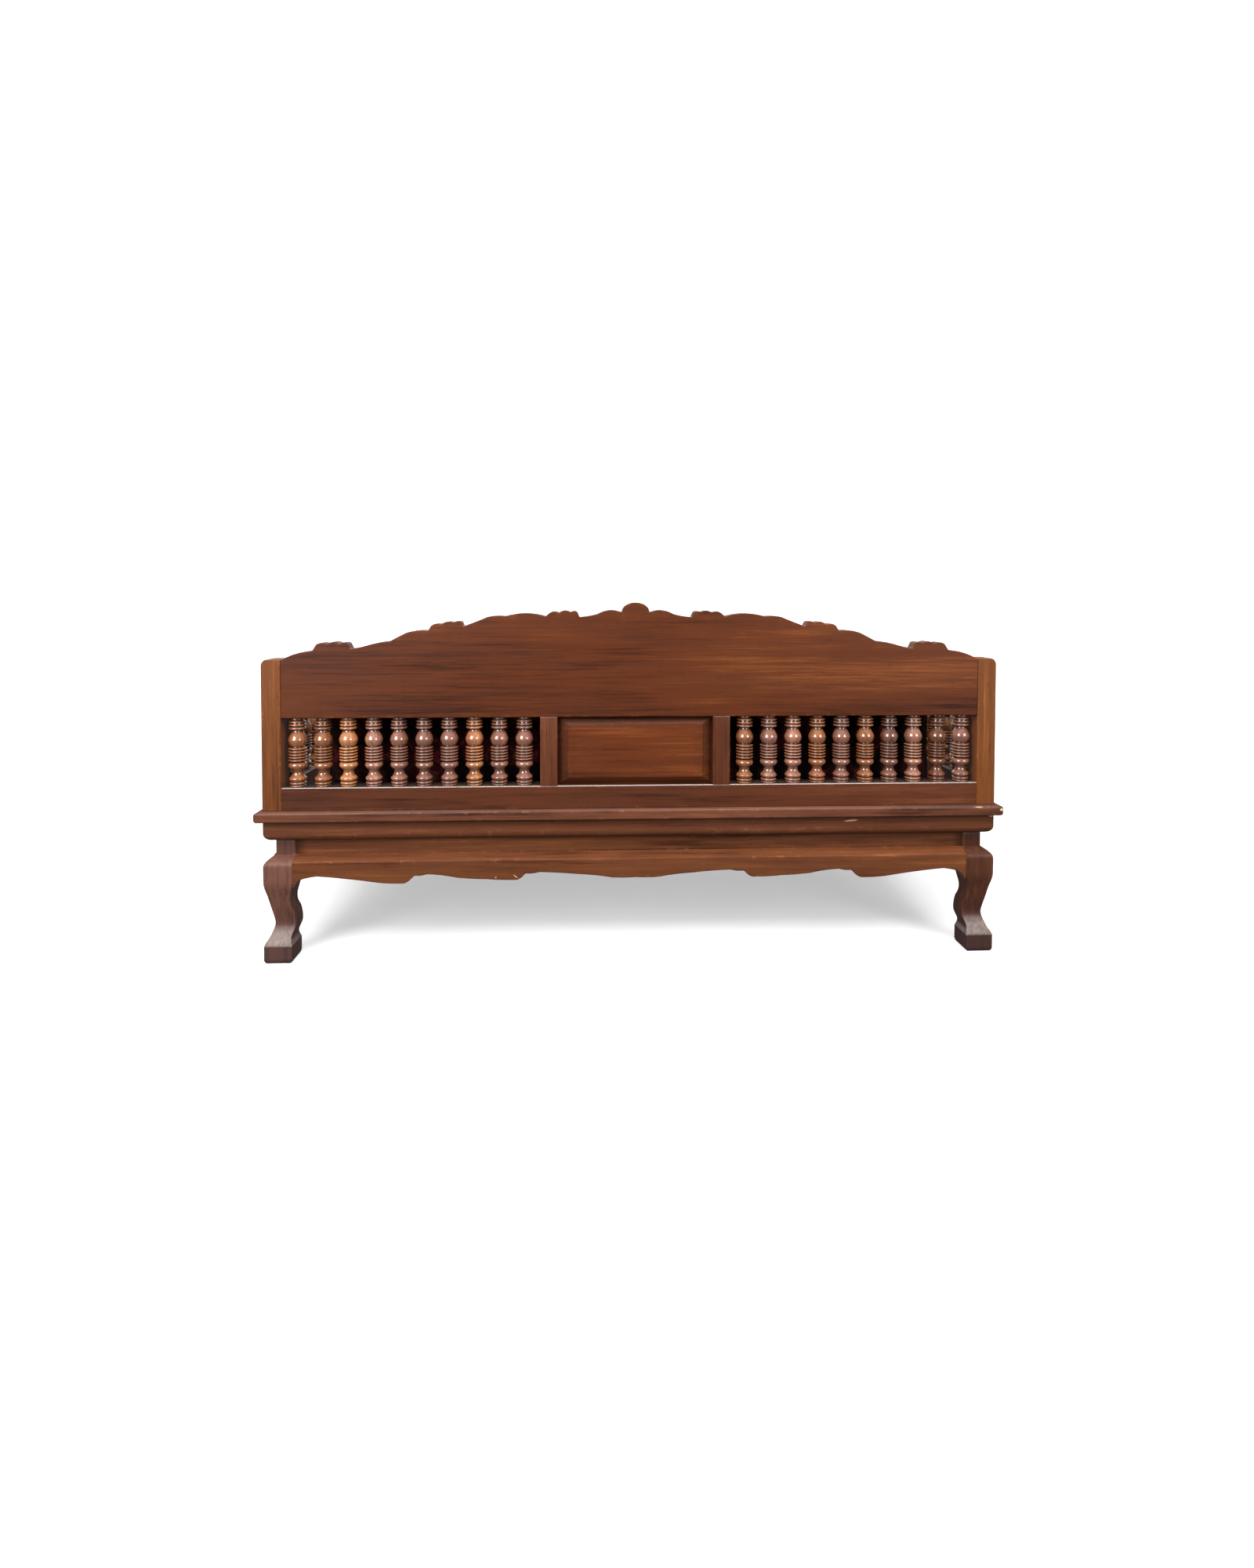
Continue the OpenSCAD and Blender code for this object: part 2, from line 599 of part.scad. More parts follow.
leg(-1, -1);  // leg_rear_left
leg(1, -1);  // leg_rear_right
leg(-1, 1);  // leg_front_left
leg(1, 1);  // leg_front_right
long_apron(-1);  // apron_rear
long_apron(1);  // apron_front
end_apron(-1);  // apron_left
end_apron(1);  // apron_right
long_neck(-1);  // neck_rail_rear
long_neck(1);  // neck_rail_front
end_neck(-1);  // neck_rail_left
end_neck(1);  // neck_rail_right
long_moulding(-1);  // waist_moulding_rear
long_moulding(1);  // waist_moulding_front
end_moulding(-1);  // waist_moulding_left
end_moulding(1);  // waist_moulding_right
seat_plank(0);  // seat_plank_rear
seat_plank(1);  // seat_plank_mid_rear
seat_plank(2);  // seat_plank_mid_front
seat_plank(3);  // seat_plank_front
seat_battens();
rear_post(-1);  // rear_post_left
rear_post(1);  // rear_post_right
crest_board();
back_lower_rail();
panel_stile(-1);  // panel_stile_left
panel_stile(1);  // panel_stile_right
raised_panel();
spindle(back_place(-1, 0));  // back_spindle_l01
spindle(back_place(-1, 1));  // back_spindle_l02
spindle(back_place(-1, 2));  // back_spindle_l03
spindle(back_place(-1, 3));  // back_spindle_l04
spindle(back_place(-1, 4));  // back_spindle_l05
spindle(back_place(-1, 5));  // back_spindle_l06
spindle(back_place(-1, 6));  // back_spindle_l07
spindle(back_place(-1, 7));  // back_spindle_l08
spindle(back_place(-1, 8));  // back_spindle_l09
spindle(back_place(-1, 9));  // back_spindle_l10
spindle(back_place(1, 0));  // back_spindle_r01
spindle(back_place(1, 1));  // back_spindle_r02
spindle(back_place(1, 2));  // back_spindle_r03
spindle(back_place(1, 3));  // back_spindle_r04
spindle(back_place(1, 4));  // back_spindle_r05
spindle(back_place(1, 5));  // back_spindle_r06
spindle(back_place(1, 6));  // back_spindle_r07
spindle(back_place(1, 7));  // back_spindle_r08
spindle(back_place(1, 8));  // back_spindle_r09
spindle(back_place(1, 9));  // back_spindle_r10
arm_post(-1);  // arm_post_left
arm_post(1);  // arm_post_right
arm_board(-1);  // arm_board_left
arm_board(1);  // arm_board_right
arm_lower_rail(-1);  // arm_lower_rail_left
arm_lower_rail(1);  // arm_lower_rail_right
arm_spindles_side(-1);  // arm_spindles_left
arm_spindles_side(1);  // arm_spindles_right
plank_dowels();
batten_screws();
back_cushion(-1);  // back_cushion_left
back_cushion(1);  // back_cushion_right
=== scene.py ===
"""Long timber bench seen from behind: turned spindles, carved crest, waisted base, cabriole legs.

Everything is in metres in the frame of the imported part: +X along the seat, -Y towards the viewer
of the back, +Z up, with the origin on the floor under the middle of the seat.
"""

import logging
from dataclasses import dataclass, field, replace
from enum import Enum
from functools import reduce
from typing import Sequence

import bpy
import numpy as np
from mathutils import Matrix, Vector

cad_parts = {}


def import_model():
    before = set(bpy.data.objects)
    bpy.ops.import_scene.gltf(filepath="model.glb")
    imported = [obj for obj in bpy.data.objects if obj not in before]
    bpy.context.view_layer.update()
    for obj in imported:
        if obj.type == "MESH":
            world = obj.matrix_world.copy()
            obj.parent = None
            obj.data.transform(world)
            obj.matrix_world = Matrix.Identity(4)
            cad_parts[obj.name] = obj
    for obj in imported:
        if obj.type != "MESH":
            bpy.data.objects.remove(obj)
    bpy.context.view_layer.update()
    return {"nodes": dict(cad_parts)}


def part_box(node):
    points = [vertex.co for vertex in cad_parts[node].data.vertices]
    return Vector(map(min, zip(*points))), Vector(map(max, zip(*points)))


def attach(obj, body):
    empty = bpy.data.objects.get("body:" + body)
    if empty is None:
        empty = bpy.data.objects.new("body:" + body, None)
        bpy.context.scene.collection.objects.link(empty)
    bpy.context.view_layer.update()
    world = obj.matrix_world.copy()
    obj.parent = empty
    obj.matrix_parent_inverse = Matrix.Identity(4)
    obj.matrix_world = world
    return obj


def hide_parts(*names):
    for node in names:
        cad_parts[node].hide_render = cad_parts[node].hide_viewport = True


log = logging.getLogger("bench")
Array = np.ndarray
Rgb = tuple[float, float, float]
MM = 0.001
WEAR_REACH = np.array([2.0, 7.0]) * MM  # how far from an edge its wear halves, and ends
WEAR_SHARE = np.array([0.3, 0.45])  # the same, at most, as shares of a flat
SECTION_AXES = ((1, 2), (2, 0), (0, 1))  # axes of a section across a run along X, Y or Z
SHARP = np.radians(50)  # faces that meet at more than this stay crisp


# ---- numbers and curves ---------------------------------------------------------------------


class Side(Enum):
    """Side of the bench, seen from behind."""

    LEFT = -1
    RIGHT = 1

    def sided(self, shell: "Shell") -> "Shell":
        """Put a shell drawn for the right on this side."""
        return shell if self is Side.RIGHT else shell.mirrored(0)


class End(Enum):
    """Long edge of the bench."""

    REAR = -1
    FRONT = 1


def shade(red: int, green: int, blue: int) -> Rgb:
    """Turn screen levels of 0 to 255 into linear colour.

    Args:
        red: Red level.
        green: Green level.
        blue: Blue level.

    Returns:
        Linear red, green and blue.
    """
    level = np.array([red, green, blue]) / 255.0
    linear = np.where(level <= 0.04045, level / 12.92, ((level + 0.055) / 1.055) ** 2.4)
    return tuple(float(v) for v in linear)


def smooth_through(keys: Array, steps: int) -> Array:
    """Carry a smooth curve through key points.

    Between keys b and c, with neighbours a and d, the point at t is half of
    2b + (c - a)t + (2a - 5b + 4c - d)t^2 + (3b - a - 3c + d)t^3.

    Args:
        keys: Key points, one per row.
        steps: Points made for each stretch between two keys.

    Returns:
        Points of the curve, one per row, ending on the last key.
    """
    keys = np.asarray(keys, float)
    padded = np.vstack([keys[:1], keys, keys[-1:]])
    a, b, c, d = (padded[i:len(padded) - 3 + i, None, :] for i in range(4))
    t = (np.arange(steps) / steps)[None, :, None]
    curve = 0.5 * (2 * b + (c - a) * t + (2 * a - 5 * b + 4 * c - d) * t ** 2
                   + (3 * b - a - 3 * c + d) * t ** 3)
    return np.vstack([curve.reshape(-1, keys.shape[1]), keys[-1:]])


def bow(start: Sequence[float], stop: Sequence[float], rise: float, count: int = 12) -> Array:
    """Shallow bow between two points: a straight line plus 4 * rise * t * (1 - t) upwards.

    Args:
        start: First point.
        stop: Point the bow heads for, left to the next piece of the outline.
        rise: Height of the bow over its chord.
        count: Points made.

    Returns:
        Points of the bow without its last one.
    """
    t = np.arange(count)[:, None] / count
    line = np.asarray(start, float) * (1 - t) + np.asarray(stop, float) * t
    return line + np.hstack([0 * t, 4 * rise * t * (1 - t)])


def chain(rows: Sequence[Sequence[float]]) -> Array:
    """Join shallow bows end to end.

    Args:
        rows: Corners of the outline; after each but the last comes the rise of the bow from it.

    Returns:
        Points of the outline without the last corner.
    """
    return np.vstack([bow(a[:2], b[:2], a[2]) for a, b in zip(rows, rows[1:])])


def lobed_block(foot_in: Sequence[float], top_in: Sequence[float], top_out: Sequence[float],
                foot_out: Sequence[float]) -> Array:
    """Carved block on a board's edge: steep sides with three bows on top of them.

    Args:
        foot_in: Foot nearer the middle of the board.
        top_in: Shoulder above it.
        top_out: Shoulder on the far side.
        foot_out: Foot on the far side.

    Returns:
        Points of the block's outline.
    """
    b, c = np.asarray(top_in, float), np.asarray(top_out, float)
    first, second = b * 0.76 + c * 0.24, b * 0.34 + c * 0.66
    side = c * 0.4 + np.asarray(foot_out, float) * 0.6
    return np.vstack([[foot_in], bow(b, first, 2.5), bow(first, second, 5, 16), bow(second, c, 4),
                      [c], [side]])


def bead(low: float, high: float, neck: float, reach: float, count: int = 10) -> Array:
    """Half-round bead of a turning: radius neck + (reach - neck) sin(a) as height goes with -cos(a).

    Args:
        low: Height of the bead's lower end.
        high: Height of its upper end.
        neck: Radius at both ends.
        reach: Radius at the middle.
        count: Steps over the bead.

    Returns:
        Rows of radius and height.
    """
    a = np.linspace(0.0, np.pi, count + 1)
    return np.column_stack([neck + (reach - neck) * np.sin(a),
                            (low + high) / 2 - (high - low) / 2 * np.cos(a)])


def respaced(line: Array, gap: float) -> Array:
    """Lay points along a line at an even distance, with straight stretches between them.

    Args:
        line: Points of the line, one per row.
        gap: Distance wanted between two points.

    Returns:
        Evenly spaced points with both ends kept.
    """
    run = np.concatenate([[0.0], np.cumsum(np.linalg.norm(np.diff(line, axis=0), axis=1))])
    at = np.linspace(0.0, run[-1], max(2, int(round(run[-1] / gap))) + 1)
    return np.column_stack([np.interp(at, run, line[:, i]) for i in range(line.shape[1])])


def softened(line: Array, reach: float, gap: float) -> Array:
    """Soften the corners of an evenly spaced line with a bell-shaped average, keeping its ends.

    Args:
        line: Evenly spaced points.
        reach: Spread of the bell in the line's unit.
        gap: Distance between two points.

    Returns:
        The softened line.
    """
    half = max(1, int(3 * reach / gap))
    bell = np.exp(-0.5 * (np.arange(-half, half + 1) * gap / reach) ** 2)
    bell /= bell.sum()
    mirrored = np.vstack([2 * line[0] - line[half:0:-1], line, 2 * line[-1] - line[-2:-half - 2:-1]])
    return np.column_stack([np.convolve(mirrored[:, i], bell, mode="valid")
                            for i in range(line.shape[1])])


# ---- sections and shells --------------------------------------------------------------------


@dataclass
class Shell:
    """Closed surface given as rings of points, with values painted on its points."""

    rings: Array
    worn: Array
    grime: Array | None = None

    def mirrored(self, axis: int) -> "Shell":
        """Return the shell reflected across the plane through the origin, its faces still outward."""
        rings = self.rings.copy()
        rings[..., axis] *= -1
        grime = None if self.grime is None else self.grime[:, ::-1]
        return Shell(rings[:, ::-1], self.worn[:, ::-1], grime)


def rounded_sections(corners: Array, radii: Array, arc: int = 5) -> tuple[Array, Array]:
    """Round the corners of many polygons at once.

    Each corner C turns into a true arc from A to B, its tangent points, as the weighted mean
    ((1-s)^2 A + 2ws(1-s) C + s^2 B) / ((1-s)^2 + 2ws(1-s) + s^2), where w is the cosine of half
    the turn. Two points follow each arc and two lead into the next, to hold the wear near it.

    Args:
        corners: Polygons, as polygon by corner by two.
        radii: Radius wanted at each corner, as polygon by corner.
        arc: Steps in each arc.

    Returns:
        The rounded polygons, and how near an edge each of their points is, from 0 to 1.
    """
    before, after = np.roll(corners, 1, axis=1), np.roll(corners, -1, axis=1)
    back, ahead = corners - before, after - corners
    back_len = np.linalg.norm(back, axis=2, keepdims=True)
    ahead_len = np.linalg.norm(ahead, axis=2, keepdims=True)
    back, ahead = back / back_len, ahead / ahead_len
    cos_turn = np.clip((back * ahead).sum(2, keepdims=True), -0.999, 1.0)
    tan_half = np.sqrt((1 - cos_turn) / (1 + cos_turn))
    reach = np.minimum(radii[..., None] * tan_half, 0.42 * np.minimum(back_len, ahead_len))
    a, b = corners - back * reach, corners + ahead * reach
    w = np.sqrt((1 + cos_turn) / 2)[:, :, None, :]
    s = np.linspace(0.0, 1.0, arc + 1)[None, None, :, None]
    share_a, share_c, share_b = (1 - s) ** 2, 2 * w * s * (1 - s), s ** 2
    arcs = (share_a * a[:, :, None] + share_c * corners[:, :, None] + share_b * b[:, :, None]
            ) / (share_a + share_c + share_b)
    gap = np.roll(a, -1, axis=1) - b
    gap_len = np.maximum(np.linalg.norm(gap, axis=2, keepdims=True), 1e-9)
    steps = np.minimum(WEAR_REACH[:, None] / gap_len[:, :, None], WEAR_SHARE[:, None])
    steps = np.concatenate([steps, 1 - steps[:, :, ::-1]], axis=2)
    straight = b[:, :, None] + gap[:, :, None] * steps
    loop = np.concatenate([arcs, straight], axis=2)
    near = np.concatenate([np.ones(arc + 1), [0.35, 0.0, 0.0, 0.35]])
    turned = np.clip(np.arccos(cos_turn[..., 0]) / 0.9, 0.0, 1.0)
    worn = near[None, None, :] * turned[..., None]
    return loop.reshape(len(corners), -1, 2), worn.reshape(len(corners), -1)


def eased_run(low: float, high: float, ease: float, gap: float, arc: int = 5) -> tuple[Array, Array]:
    """Stations along a bar with rounded ends.

    Over the last stretch the station moves by ease * (1 - cos a) and the section shrinks by
    ease * (1 - sin a), as a quarter circle does.

    Args:
        low: Start of the bar.
        high: End of the bar.
        ease: Radius at its ends.
        gap: Distance between stations in the middle.
        arc: Steps round each end.

    Returns:
        The stations, and how far the section shrinks at each.
    """
    a = np.linspace(0.0, np.pi / 2, arc + 1)
    inner = np.linspace(low + ease, high - ease, max(3, int((high - low) / gap)))[1:-1]
    at = np.concatenate([low + ease * (1 - np.cos(a)), inner, high - ease * (1 - np.cos(a[::-1]))])
    shrink = np.concatenate([ease * (1 - np.sin(a)), 0 * inner, ease * (1 - np.sin(a[::-1]))])
    return at, shrink


def bar(low: Sequence[float], high: Sequence[float], axis: int, edge: float, ends: float,
        gap: float = 0.03) -> Shell:
    """Straight timber with eased edges and ends.

    Args:
        low: Lowest corner.
        high: Highest corner.
        axis: Index of the axis it runs along.
        edge: Radius along its four edges.
        ends: Radius round its two ends.
        gap: Distance between stations.

    Returns:
        The timber's shell.
    """
    at, shrink = eased_run(low[axis], high[axis], ends, gap)
    u, v = SECTION_AXES[axis]
    s = shrink[:, None]
    loop, worn = rounded_sections(rectangles(low[u] + shrink, low[v] + shrink, high[u] - shrink,
                                             high[v] - shrink),
                                  np.repeat(np.maximum(edge - s, 0.2 * MM), 4, axis=1))
    return Shell(carried(at, loop, axis), np.maximum(worn, (s > 0) * 0.8))


def rectangles(u0: Array, v0: Array, u1: Array, v1: Array) -> Array:
    """Stack rectangles from their lowest and highest sides, as polygon by corner by two."""
    return np.stack([np.stack([u0, u1, u1, u0], 1), np.stack([v0, v0, v1, v1], 1)], axis=2)


def four_sided(index: Array) -> Array:
    """List the faces between neighbours in a grid of point numbers, one face per row."""
    return np.stack([index[:-1, :-1], index[:-1, 1:], index[1:, 1:], index[1:, :-1]],
                    axis=2).reshape(-1, 4)


def carried(at: Array, loop: Array, axis: int) -> Array:
    """Place flat sections at stations along an axis.

    Args:
        at: Stations.
        loop: Sections, as station by point by two, in the axes that follow the run's in turn.
        axis: Index of the axis of the run.

    Returns:
        Points in space, as station by point by three.
    """
    rings = np.empty(loop.shape[:2] + (3,))
    u, v = SECTION_AXES[axis]
    rings[..., axis] = at[:, None] if at.ndim == 1 else at
    rings[..., u], rings[..., v] = loop[..., 0], loop[..., 1]
    return rings


class Grain(Enum):
    """Way a piece's fibres run: axes for along, across and into the board."""

    ALONG_X = (0, 2, 1)
    ALONG_Y = (1, 2, 0)
    ALONG_Z = (2, 0, 1)
    FLAT_X = (0, 1, 2)


@dataclass
class Maker:
    """Turns shells into pieces of the bench and gives each its own stretch of timber."""

    woods: dict[str, bpy.types.Material]
    turned: Sequence[bpy.types.Material]
    seed: int = 11
    made: int = 0
    dice: np.random.Generator = field(init=False)

    def __post_init__(self) -> None:
        """Start the dice that choose where in the log each piece was cut."""
        self.dice = np.random.default_rng(self.seed)

    def placed(self, name: str, points: Array, faces: list[list[int]], skin: bpy.types.Material,
               node: str | None = None) -> bpy.types.Object:
        """Make an object that rides on the bench.

        Args:
            name: Name of the piece.
            points: Its points.
            faces: Its faces, as lists of point numbers.
            skin: Its material.
            node: CAD node that it replaces, if any.

        Returns:
            The object.
        """
        mesh = bpy.data.meshes.new(name)
        mesh.from_pydata(points, [], faces)
        mesh.shade_smooth()
        mesh.materials.append(skin)
        mesh.update()
        made = bpy.data.objects.new(name, mesh)
        bpy.context.scene.collection.objects.link(made)
        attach(made, "root")
        if node:
            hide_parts(node)
        self.made += 1
        log.info("%s: %d points, replaces %s", name, len(points), node or "nothing")
        return made

    def piece(self, name: str, node: str, shells: Sequence[Shell], slot: str, grain: Grain,
              tint: float, pith: tuple[float, float] | None = None,
              skin: bpy.types.Material | None = None) -> None:
        """Build one timber piece from shells and let it stand for its CAD node.

        Args:
            name: Name of the piece.
            node: CAD node that it replaces.
            shells: Closed shells that make it up.
            slot: Name of the finish, among the maker's woods, that it takes unless a skin is given.
            grain: Way its fibres run.
            tint: Shift from darker, -1, to lighter, 1.
            pith: Where the heart of the log lies from the piece's middle, across and into it;
                drawn at random when left out.
            skin: Its material, where that isn't the slot's own.
        """
        faces, values, base = [], [], 0
        for shell in shells:
            index = base + np.arange(shell.worn.size).reshape(shell.worn.shape)
            faces += four_sided(np.pad(index, ((0, 0), (0, 1)), mode="wrap")).tolist()
            faces += [index[0, ::-1].tolist(), index[-1].tolist()]
            grime = np.zeros(shell.worn.shape) if shell.grime is None else shell.grime
            values.append(np.stack([shell.worn.ravel(), grime.ravel()]))
            base += index.size
        points = np.vstack([shell.rings.reshape(-1, 3) for shell in shells])
        worn, grime = np.hstack(values)
        across, into = pith or (self.dice.uniform(-0.05, 0.05), self.dice.uniform(0.03, 0.09))
        middle = (points.min(0) + points.max(0)) / 2
        fibre = (points - middle)[:, list(grain.value)] + [self.dice.uniform(0, 20), across, into]
        mesh = self.placed(name, points, faces, skin or self.woods[slot], node).data
        self.paint(mesh, "worn", worn)
        self.paint(mesh, "grime", grime)
        self.paint(mesh, "tint", np.full(len(points), tint))
        layer = mesh.attributes.new("fibre", "FLOAT_VECTOR", "POINT")
        layer.data.foreach_set("vector", fibre.astype(np.float32).ravel())
        mesh.set_sharp_from_angle(angle=SHARP)

    @staticmethod
    def paint(mesh: bpy.types.Mesh, name: str, values: Array) -> None:
        """Store one number per point under a name that materials read."""
        layer = mesh.attributes.new(name, "FLOAT", "POINT")
        layer.data.foreach_set("value", values.astype(np.float32))


# ---- finishes -------------------------------------------------------------------------------


class Graph:
    """Short words for wiring a material's nodes."""

    def __init__(self, name: str) -> None:
        """Start a material with one surface shader.

        Args:
            name: Name of the material.
        """
        self.skin = bpy.data.materials.new(name)
        self.skin.use_nodes = True
        self.tree = self.skin.node_tree
        self.tree.nodes.clear()
        self.shader = self.tree.nodes.new("ShaderNodeBsdfPrincipled")
        output = self.tree.nodes.new("ShaderNodeOutputMaterial")
        self.tree.links.new(self.shader.outputs[0], output.inputs[0])

    def feed(self, socket: bpy.types.NodeSocket, value: object) -> None:
        """Link a socket to another, or set its number or colour."""
        if isinstance(value, bpy.types.NodeSocket):
            self.tree.links.new(value, socket)
        else:
            socket.default_value = value

    def attribute(self, name: str, output: str = "Fac") -> bpy.types.NodeSocket:
        """Return a value painted on the mesh."""
        node = self.tree.nodes.new("ShaderNodeAttribute")
        node.attribute_name = name
        return node.outputs[output]

    def place(self) -> bpy.types.NodeSocket:
        """Return Object coordinates."""
        return self.tree.nodes.new("ShaderNodeTexCoord").outputs["Object"]

    def split(self, vector: bpy.types.NodeSocket) -> tuple[bpy.types.NodeSocket, ...]:
        """Return the three parts of a vector."""
        node = self.tree.nodes.new("ShaderNodeSeparateXYZ")
        self.feed(node.inputs[0], vector)
        return tuple(node.outputs)

    def normal(self) -> bpy.types.NodeSocket:
        """Return the way the surface looks."""
        return self.tree.nodes.new("ShaderNodeNewGeometry").outputs["Normal"]

    def surface(self, inputs: dict[str, object]) -> None:
        """Feed the surface shader's inputs by name."""
        for name, value in inputs.items():
            self.feed(self.shader.inputs[name], value)

    def vector(self, op: str, a: object, b: object = (0.0, 0.0, 0.0),
               output: str = "Vector") -> bpy.types.NodeSocket:
        """Return a vector sum, product or length."""
        node = self.tree.nodes.new("ShaderNodeVectorMath")
        node.operation = op
        self.feed(node.inputs[0], a)
        self.feed(node.inputs[1], b)
        return node.outputs[output]

    def math(self, op: str, a: object, b: object = 0.0, clamp: bool = False) -> bpy.types.NodeSocket:
        """Return one arithmetic step."""
        node = self.tree.nodes.new("ShaderNodeMath")
        node.operation, node.use_clamp = op, clamp
        self.feed(node.inputs[0], a)
        self.feed(node.inputs[1], b)
        return node.outputs[0]

    def times(self, a: object, b: object) -> bpy.types.NodeSocket:
        """Return a product."""
        return self.math("MULTIPLY", a, b)

    def total(self, *terms: object) -> bpy.types.NodeSocket:
        """Return a sum."""
        return reduce(lambda a, b: self.math("ADD", a, b), terms)

    def noise(self, at: object, cells: float | tuple[float, float, float], detail: float = 3.0,
              rough: float = 0.55, output: str = "Fac", warp: float = 0.0) -> bpy.types.NodeSocket:
        """Lay noise over a place.

        Args:
            at: Place that the noise is read at.
            cells: Cells per metre, alike on all axes or one number for each.
            detail: Finer layers of noise.
            rough: Strength of the finer layers.
            output: Output to return, Fac or Color.
            warp: How much the noise bends itself.

        Returns:
            The noise.
        """
        node = self.tree.nodes.new("ShaderNodeTexNoise")
        stretch = cells if isinstance(cells, tuple) else (cells,) * 3
        self.feed(node.inputs["Vector"], self.vector("MULTIPLY", at, stretch))
        for name, value in (("Scale", 1.0), ("Detail", detail), ("Roughness", rough),
                            ("Distortion", warp)):
            node.inputs[name].default_value = value
        return node.outputs[output]

    def span(self, value: object, low: float, high: float, to_low: float = 0.0,
             to_high: float = 1.0) -> bpy.types.NodeSocket:
        """Ease a value from one span of numbers to another.

        Args:
            value: The value.
            low: Start of its span.
            high: End of its span.
            to_low: What the start becomes.
            to_high: What the end becomes.

        Returns:
            The eased value.
        """
        node = self.tree.nodes.new("ShaderNodeMapRange")
        node.interpolation_type = "SMOOTHSTEP"
        for socket, given in zip(node.inputs, (value, low, high, to_low, to_high)):
            self.feed(socket, given)
        return node.outputs[0]

    def ramp(self, value: object, stops: Sequence[tuple[float, Rgb]]) -> bpy.types.NodeSocket:
        """Read a ramp of colours.

        Args:
            value: Place on the ramp.
            stops: Places and colours of its stops.

        Returns:
            The colour.
        """
        node = self.tree.nodes.new("ShaderNodeValToRGB")
        node.color_ramp.interpolation = "EASE"
        bands = node.color_ramp.elements
        while len(bands) < len(stops):
            bands.new(0.5)
        for band, (where, colour) in zip(bands, stops):
            band.position, band.color = where, (*colour, 1.0)
        self.feed(node.inputs[0], value)
        return node.outputs[0]

    def mix(self, share: object, a: object, b: object, way: str = "MIX") -> bpy.types.NodeSocket:
        """Lay one colour over another.

        Args:
            share: How much of the second shows.
            a: First colour.
            b: Second colour.
            way: Blending used.

        Returns:
            The mixed colour.
        """
        node = self.tree.nodes.new("ShaderNodeMix")
        node.data_type, node.blend_type = "RGBA", way
        node.clamp_factor = True
        for socket, given in zip((node.inputs[0], node.inputs[6], node.inputs[7]), (share, a, b)):
            self.feed(socket, (*given, 1.0) if isinstance(given, tuple) else given)
        return node.outputs[2]

    def bump(self, height: object, depth: float, under: object = None) -> bpy.types.NodeSocket:
        """Tilt the normal by a height field.

        Args:
            height: The field.
            depth: Depth of a step from 0 to 1 of the field, in metres.
            under: Normal that it is laid on, if not the surface's own.

        Returns:
            The tilted normal.
        """
        node = self.tree.nodes.new("ShaderNodeBump")
        node.inputs["Strength"].default_value = 1.0
        node.inputs["Distance"].default_value = depth
        self.feed(node.inputs["Height"], height)
        if under is not None:
            self.feed(node.inputs["Normal"], under)
        return node.outputs[0]


# Cells of noise per metre: along, across and into the board.
WANDER_CELLS = (0.9, 4.0, 4.0)
STRAND_CELLS = (6.0, 190.0, 190.0)
STREAK_CELLS = (1.1, 52.0, 52.0)
THREAD_CELLS = (34.0, 760.0, 760.0)
CLOUD_CELLS = (1.2, 7.0, 7.0)
SMOKE_CELLS = (2.4, 26.0, 26.0)
WAVE_CELLS = (9.0, 28.0, 28.0)
# Cells of noise per metre: fixed to the bench.
CHAFE_CELLS = 38.0
DRIFT_CELLS = 90.0
TORN_CELLS = (260.0, 260.0, 420.0)
SCUFF_GREY = shade(52, 41, 42)
DUST_GREY = shade(156, 146, 140)


@dataclass(frozen=True)
class Scar:
    """Small mark on the lacquer: an egg-shaped patch at a place, turned about Y."""

    at: tuple[float, float, float]
    half: tuple[float, float, float]
    turn: float
    colour: Rgb
    ragged: float = 0.5


